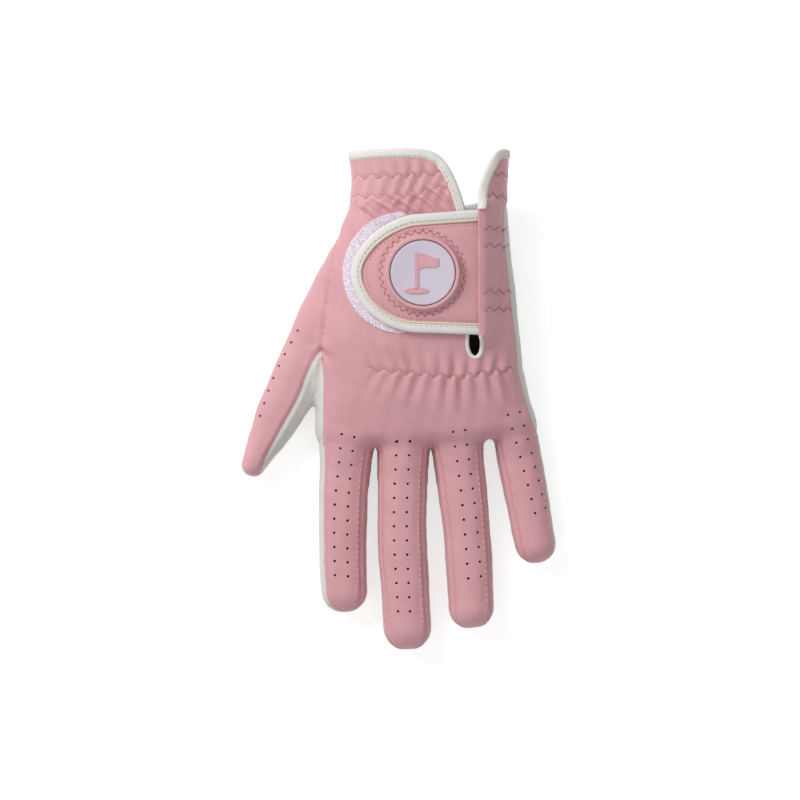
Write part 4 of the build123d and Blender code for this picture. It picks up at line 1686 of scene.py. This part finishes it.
@dataclass
class Bindings:
    """White leather bound over the raw edges at the wrist."""

    panels: Panels
    sewing: Sewing
    width: float = 3.6
    narrow: float = 1.5
    thick: float = 1.9

    def edge(self, sheet: Sheet, rule: Callable[[Array], Array]) -> Course:
        """Find the stretch of a sheet's border that lies on an opening's edge.

        Args:
            sheet: The panel.
            rule: Distance inside the opening's edge at points.

        Returns:
            The points along it and their normals.
        """
        loop = sheet.loops()[0][:-1]
        on_edge = np.abs(rule(sheet.points[loop])) < 0.15
        first = next(k for k in range(len(loop)) if on_edge[k] and not on_edge[k - 1])
        loop, on_edge = np.roll(loop, -first), np.roll(on_edge, -first)
        kept = loop[on_edge]
        return sheet.points[kept], sheet.normals[kept]

    def build(self) -> None:
        """Bind the back's edge and the palm's edge, and sew the back's band."""
        openings = self.panels.form.openings
        path, ups = self.edge(self.panels.back, openings.back)
        # The fold over the tab's root hides this stretch, which gets no band.
        hidden = (path[:, 0] > 28.9) & (path[:, 1] > 24.5) & (path[:, 1] < 70.5)
        changes = np.flatnonzero(np.diff(hidden.astype(int)))
        runs = []
        for part in np.split(np.arange(len(path)), changes + 1):
            if len(part) > 8 and not hidden[part[0]]:
                runs.append(resampled(path[part], ups[part], 0.9, 3))
        self.bind("cuff_band", runs, "cuff_binding")
        palm = resampled(*self.edge(self.panels.palm, openings.palm), 0.9, 3)
        self.bind("palm_edge_band", [palm], "palm_binding")

    def bind(self, name: str, runs: Sequence[Course], node: str) -> None:
        """Sweep a band along runs, and stitch its inner edge at the cuff.

        Args:
            name: The piece's name.
            runs: Edges to bind.
            node: CAD node that the band stands for.
        """
        rows = []
        for path, ups in runs:
            # The band narrows round the slit's end.
            wide = self.narrow + (self.width - self.narrow) * smooth_step(path[:, 1], 24.0, 34.0)
            rows.append((path, ups, wide))
        points, faces = swept(rows, self.thick, 0.4)
        points[:, 2] = np.maximum(points[:, 2], 0.0)
        finish = self.panels.wardrobe.get(Finish.BINDING)
        fitter = self.panels.fitter
        fitter.hang(mesh_object(name, points, faces, [finish]), "white_binding", "hand", node)
        if node == "palm_binding":
            return
        lines = []
        for (path, ups), (_, _, wide) in zip(runs, rows):
            if wide.max() > 3:
                kept = (wide > 3.3) & (path[:, 2] > 2.5)
                lines.append(shifted((path[kept], ups[kept]), self.width - 1.35, 0.52))
        thread = self.sewing.stitches(name + "_stitches", dashes(lines, 1.9, 1.35), 0.17, Finish.WHITE_THREAD)
        fitter.hang(thread, "white_binding", "hand")


@dataclass
class Tab:
    """The closing tab: leather, lining, hook patch, binding and its root under the fold."""

    form: Form
    wardrobe: Wardrobe
    sewing: Sewing
    fitter: Fitter
    root: float = 29.2
    bend: float = 7.5
    tip: float = -16.7
    middle: float = 47.6
    upper_width: float = 21.3
    lower_width: float = 21.9
    flare: float = 1.6  # how much the upper edge rises towards the root
    face: float = 2.6  # height of the leather's face above the hand
    band_width: float = 3.7
    leather_end: float = 33.5  # how far across the leather runs under the fold
    band_end: float = 31.4  # and the band
    hook_end: float = 18.0  # where the hook patch stops towards the root
    hook_inset: float = 5.0  # from the tab's edge
    ring_radius: float = 15.4  # row of stitches round the marker's holder
    patch_middle: tuple[float, float] = (1.5, 47.4)
    patch_reach: tuple[float, float] = (22.1, 22.4)  # of the loop patch, towards the thumb and each way along

    def edge(self, grow: float = 0.0, root: float | None = None) -> list[tuple[float, float]]:
        """Outline from the root round the end and back, grown outwards."""
        a, root = self.bend - self.tip + grow, self.root if root is None else root
        upper, lower = self.upper_width + grow, self.lower_width + grow
        flare = self.flare * (root - self.bend) / (self.root - self.bend)
        path = [(root, self.middle + upper + flare)]
        for turn in np.linspace(0, math.pi, 72):
            high = turn < math.pi / 2
            power = 2 / (1.7 if high else 1.95)
            reach = upper if high else -lower
            path.append((self.bend - a * math.sin(turn) ** power,
                         self.middle + reach * abs(math.cos(turn)) ** power))
        return path + [(root, self.middle - lower - flare / 2)]

    def inside(self, sheet: Sheet, outline: list[tuple[float, float]]) -> Sheet:
        """The part of a sheet inside an outline."""
        return sheet.cut(lambda p: -outline_distance(p[:, 0], p[:, 1], outline))

    def puff(self, x: Array, y: Array) -> Array:
        """Height of the leather's face: a soft crown that sinks to its stitched edge."""
        depth = -outline_distance(x, y, self.edge(root=60.0))
        crown = 0.5 * smooth_step(depth, 3.0, 8.5) - 0.35 * bell(depth - 3.9, 0.8)
        ring = np.hypot(x - MARKER_PLACE[0], y - MARKER_PLACE[1]) - self.ring_radius
        return self.face + crown - 0.3 * bell(ring, 0.9)

    def build(self) -> None:
        """Make every piece of the tab and its sewing."""
        form, fitter, get = self.form, self.fitter, self.wardrobe.get
        low, high = (-18.5, 23.5), (34.5, 72.5)
        face = draped(form, low, high, 0.7, self.puff)
        leather = self.inside(face, self.edge(root=self.leather_end))
        piece = thickened("tab_top", leather, 0.0, -0.8, [get(Finish.PINK), get(Finish.BACK_SIDE_SHADE)])
        fitter.fold(piece, "pink_leather", "tab_leather")
        flat = draped(form, low, high, 1.2, lambda x, y: np.full(len(x), self.face - 0.85))
        lining = self.inside(flat, self.edge(-0.3))
        piece = thickened("tab_lining_cloth", lining, 0.0, -0.4, [get(Finish.LINING)])
        fitter.fold(piece, "lining_cloth", "tab_lining")
        hooks = self.inside(flat, self.edge(-self.hook_inset, root=self.hook_end))
        piece = thickened("tab_hooks", hooks, -0.42, -0.95, [get(Finish.HOOK)])
        fitter.hang(piece, "hook_fabric", "tab", "tab_hook_patch")
        run = course(form, self.edge(root=self.band_end), self.face - 0.05, 0.8, plain=True)
        run = (run[0][1:-1], run[1][1:-1])
        points, faces = swept([(*run, np.full(len(run[0]), self.band_width))], 2.2, 0.55)
        fitter.fold(mesh_object("tab_band", points, faces, [get(Finish.BINDING)]), "white_binding",
                    "tab_binding")
        piping = shifted(run, self.band_width - 0.3, 0.0)
        points, faces = swept([(*piping, np.full(len(run[0]), 0.9))], 0.9, -0.15)
        fitter.fold(mesh_object("tab_piping", points, faces, [get(Finish.CREAM)]), "white_binding")
        rows = [shifted(run, self.band_width - 1.3, 0.52)]
        thread = self.sewing.stitches("tab_band_stitches", dashes(rows, 1.9, 1.35), 0.17, Finish.WHITE_THREAD)
        fitter.fold(thread, "white_binding")
        rows = [course(form, self.edge(-5.0), self.face + 0.32, 0.8, plain=True)]
        thread = self.sewing.stitches("tab_inner_stitches", dashes(rows, 1.7, 1.3), 0.13, Finish.PINK_THREAD)
        fitter.fold(thread, "white_binding")
        turns = np.linspace(0, 2 * math.pi, 90)
        (x, y), radius = MARKER_PLACE, self.ring_radius
        ring = [(x + radius * math.cos(t), y + radius * math.sin(t)) for t in turns]
        rows = [course(form, ring, self.face + 0.3, 0.8, plain=True)]
        thread = self.sewing.stitches("holder_stitches", zigzags(rows, 2.9, 1.8, 2), 0.22, Finish.ROSE_STITCH_SHADE)
        fitter.hang(thread, "pink_leather", "tab")
        corners = ((29.7, FOLD[0][1]), FOLD[1])
        base = draped(form, *corners, 0.8, lambda x, y: np.full(len(x), self.face))
        base = self.inside(base, plan_box(*corners))
        piece = thickened("tab_root_leather", base, -0.9, -1.75, [get(Finish.PINK), get(Finish.BACK_SIDE_SHADE)])
        fitter.hang(piece, "pink_leather", "hand", "tab_root")
        self.loops()

    def loops(self) -> None:
        """The loop patch under the tab, with pile over all of it."""
        form, fitter, get = self.form, self.fitter, self.wardrobe.get
        (x, y), (wide, tall) = self.patch_middle, self.patch_reach
        outline = [(x - wide * math.sin(t), y + tall * math.cos(t)) for t in np.linspace(0, math.pi, 60)]
        outline = [(17.5, 60.0)] + outline + [(17.5, 35.0)]
        sheet = draped(form, (-22.0, 24.0), (18.5, 71.0), 0.8, lambda x, y: np.full(len(x), 0.1), False)
        patch = self.inside(sheet, outline)
        piece = thickened("loop_base", patch, 0.3, -0.3, [get(Finish.LOOP)])
        fitter.hang(piece, "loop_fabric", "hand", "loop_patch")
        pile = mesh_object("loop_pile", patch.points + patch.normals * 0.3, patch.faces, [])
        self.sewing.baked(pile, self.sewing.pile_tree, Density=5.5e6, Size=0.38 * MM,
                          Material=get(Finish.LOOP))
        fitter.hang(pile, "loop_fabric", "hand")


@dataclass
class Marker:
    """The magnetic ball marker: a rubber holder, an enamelled disc and a raised flag on its pin."""

    wardrobe: Wardrobe
    fitter: Fitter
    nodes: dict
    disc_middle: float = 4.75  # height of the disc's middle over the seat

    def seat(self) -> Seat:
        """The tab's own plane under the marker, from the frame."""
        low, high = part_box("marker_disc")
        sine, cosine = 0.05705, 0.99837  # the tab leans a little towards the fingers
        up = np.array([0.0, -sine, cosine])
        middle = np.array((low + high) / 2) / MM - up * self.disc_middle
        return Seat(middle, np.array([1.0, 0.0, 0.0]), np.array([0.0, cosine, sine]), up)

    def build(self) -> None:
        """Make the holder, disc and flag, and finish the magnet."""
        seat, get, hang = self.seat(), self.wardrobe.get, self.fitter.hang
        rim = ((0.0, 3.8), (12.2, 3.8), (12.3, 4.9), (12.5, 5.3), (12.9, 5.45), (13.4, 5.35), (13.8, 4.9),
               (14.0, 4.0), (14.15, 1.9), (9.5, 1.9), (9.5, 3.68), (0.0, 3.68))
        hang(lathe("marker_cup", rim, seat, get(Finish.HOLDER)), "holder_rubber", "tab", "marker_holder")
        disc = ((0.0, 4.12), (11.6, 4.12), (11.9, 4.25), (12.0, 4.6), (11.95, 5.1), (11.75, 5.34),
                (11.3, 5.4), (10.9, 5.3), (0.0, 5.3))
        hang(lathe("ball_marker", disc, seat, get(Finish.MARKER)), "marker_enamel", "marker", "marker_disc")
        piece = self.flag(seat)
        hang(piece, "emblem_enamel", "marker", "marker_emblem")
        magnet = self.nodes["marker_magnet"]
        magnet.data.materials.clear()
        magnet.data.materials.append(get(Finish.MAGNET))

    def flag(self, seat: Seat) -> bpy.types.Object:
        """A pin with a waving pennant over a small cup, raised from the disc."""
        wave = [0.4 * math.sin(k * 1.2) for k in range(6)]
        top = [(-1.6 + k * 1.5, 7.0 + wave[k] - k * 0.3) for k in range(6)]
        under = [(-1.6 + k * 1.5, 1.2 + wave[k] + k * 0.3) for k in reversed(range(6))]
        cup = [(-2.3 + 4.6 * math.cos(t), -6.7 + 1.1 * math.sin(t)) for t in np.linspace(0, 6.02, 24)]
        pin = [(-3.0, -6.3), (-1.6, -6.3), (-1.6, 7.3), (-2.3, 7.8), (-3.0, 7.3)]
        shapes = (pin, top + under, cup)
        points, faces = [], []
        for shape in shapes:
            flat = np.array(shape)
            area = 0.5 * np.sum(flat[:, 0] * np.roll(flat[:, 1], -1) - np.roll(flat[:, 0], -1) * flat[:, 1])
            flat = flat if area > 0 else flat[::-1]
            count, base = len(flat), len(points)
            middle = flat.mean(0)
            for height, shrink in ((5.2, 0.0), (5.62, 0.0), (5.72, 0.12)):
                for x, y in flat:
                    away = np.array([x, y]) - middle
                    away = away * (1 - shrink / max(np.linalg.norm(away), 0.5))
                    points.append(seat.at(middle[0] + away[0], middle[1] + away[1], height))
            for level in range(2):
                for k in range(count):
                    a, b = base + level * count + k, base + level * count + (k + 1) % count
                    faces.append((a, b, b + count, a + count))
            faces.append(tuple(base + 2 * count + k for k in range(count)))
            faces.append(tuple(base + k for k in reversed(range(count))))
        finishes = [self.wardrobe.get(Finish.EMBLEM)]
        return mesh_object("flag_on_pin", np.array(points), faces, finishes, sharp=30.0)


@dataclass
class Sewn:
    """Stitch rows over the hand and the digits."""

    form: Form
    sewing: Sewing
    fitter: Fitter

    def build(self) -> None:
        """Sew the elastic rows and the seams."""
        form, fitter = self.form, self.fitter
        groups = {"elastic": form.wrist_rows[:2] + form.knuckle_rows, "side": form.wrist_rows[2:]}
        for name, rows in groups.items():
            parts = [self.dipping(row.stitch_ends()) for row in rows]
            segments = tuple(np.concatenate(columns) for columns in zip(*parts))
            piece = self.sewing.stitches(f"{name}_zigzags", segments, 0.17, Finish.ROSE_STITCH_SHADE)
            fitter.hang(piece, "pink_leather", "hand")
        for digit in FINGERS:
            runs = [self.seam_run(digit, side) for side in (-1, 1)]
            piece = self.sewing.stitches(f"{digit.name}_seam_stitches", dashes(runs, 2.2, 1.5), 0.2,
                                         Finish.PINK_THREAD)
            fitter.bend(piece, "pink_leather", digit)
        plan = ((-21.8, 66.0), (-24.4, 53.0), (-26.6, 38.0), (-28.3, 24.0))
        rows = [course(form, rounded_path(plan), 0.1)]
        thread = self.sewing.stitches("thumb_seam_zigzag", zigzags(rows, 4.0, 1.6, 2), 0.17,
                                      Finish.PINK_THREAD)
        fitter.hang(thread, "pink_leather", "hand")

    def dipping(self, plan: Sequence[tuple[float, float]]) -> tuple[Array, Array, Array]:
        """Stitches whose ends dip into the leather at plan places."""
        drops = [self.form.drop(x, y) for x, y in plan]
        places = np.array([tuple(place + normal * 0.1) for place, normal in drops])
        ups = np.array([tuple(normal) for _, normal in drops])
        gap = 0.1 * (places[1:] - places[:-1])
        return places[:-1] + gap, places[1:] - gap, ups[:-1]

    def seam_run(self, digit: Digit, side: int) -> Course:
        """Lay a row just inside a finger's back seam, from near its base to its tip.

        Args:
            digit: The finger.
            side: -1 for its left seam, 1 for its right.

        Returns:
            The course of the row.
        """
        angles = self.form.seam_angles[digit.name]
        turn = math.radians(angles[0] if side < 0 else angles[1])
        share = (1 + math.tan(turn) ** digit.power) ** (-1 / digit.power)
        plan = []
        for along in np.arange(4.0, digit.length - 8.0, 3.0):
            half = float(digit.sizes(np.array([along]))[0][0])
            plan.append(digit.place(along, side * (share * half - 1.1)))
        return course(self.form, plan, 0.06)


# ------------------------------------------------------------------ stage
@dataclass(frozen=True)
class Stage:
    """White floor, soft light from the upper left and a long-lens camera straight above."""

    distance: float = 2.2
    across: float = 0.3  # width of the frame at the glove
    middle: tuple[float, float] = (0.00056, 0.00019)

    def build(self) -> None:
        """Make the floor, world, lamps and camera."""
        scene = bpy.context.scene
        scene.view_settings.view_transform = "Standard"
        bpy.ops.mesh.primitive_plane_add(size=6.0, location=(0, 0, -0.0004))
        floor = bpy.context.object
        floor.name = "floor"
        floor.data.materials.append(self.floor_finish())
        world = bpy.data.worlds.new("studio")
        world.use_nodes = True
        back = world.node_tree.nodes["Background"]
        back.inputs["Color"].default_value = (1.0, 1.0, 1.0, 1.0)
        back.inputs["Strength"].default_value = 0.36
        scene.world = world
        self.lamp("key", (-0.85, 0.85, 0.95), 0.8, 15.0)
        self.lamp("fill", (0.0, -0.6, 1.5), 1.4, 4.0)
        camera = bpy.data.cameras.new("camera")
        camera.sensor_width = 36.0
        camera.lens = 36.0 * (self.distance - 0.012) / self.across
        camera.clip_end = 20.0
        eye = linked("camera", camera)
        eye.location = (*self.middle, self.distance)
        scene.camera = eye

    def lamp(self, name: str, place: tuple[float, float, float], size: float, power: float) -> None:
        """Hang one soft square lamp that faces the glove.

        Args:
            name: The lamp's name.
            place: Where it hangs, in metres.
            size: Side of its square.
            power: Its power in watts.
        """
        light = bpy.data.lights.new(name, "AREA")
        light.size, light.energy = size, power
        lamp = linked(name, light)
        lamp.location = place
        lamp.rotation_euler = (Vector((0, 0, 0)) - Vector(place)).to_track_quat("-Z", "Y").to_euler()

    def floor_finish(self) -> bpy.types.Material:
        """White paper that shows clean white to the camera and keeps a light shadow."""
        g = Graph("paper")
        rays = g.node("ShaderNodeLightPath", {}, output="Is Camera Ray")
        glossy = g.node("ShaderNodeLightPath", {}, output="Is Glossy Ray")
        glow = (rays + glossy).clamped() * 0.6
        g.shader.inputs["Base Color"].default_value = (0.8, 0.8, 0.8, 1.0)
        g.shader.inputs["Roughness"].default_value = 0.9
        g.shader.inputs["Emission Color"].default_value = (1.0, 1.0, 1.0, 1.0)
        g.tree.links.new(glow.socket, g.shader.inputs["Emission Strength"])
        return g.material


def main() -> None:
    """Build the glove piece by piece."""
    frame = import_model()
    Stage().build()
    form = Form()
    wardrobe, fitter = Wardrobe(), Fitter()
    sewing = Sewing(wardrobe)
    panels = Panels(form, wardrobe, fitter)
    panels.build()
    Bindings(panels, sewing).build()
    Tab(form, wardrobe, sewing, fitter).build()
    Marker(wardrobe, fitter, frame["nodes"]).build()
    Sewn(form, sewing, fitter).build()
    log.info("%d pieces", fitter.count)


if __name__ == "__main__":
    main()
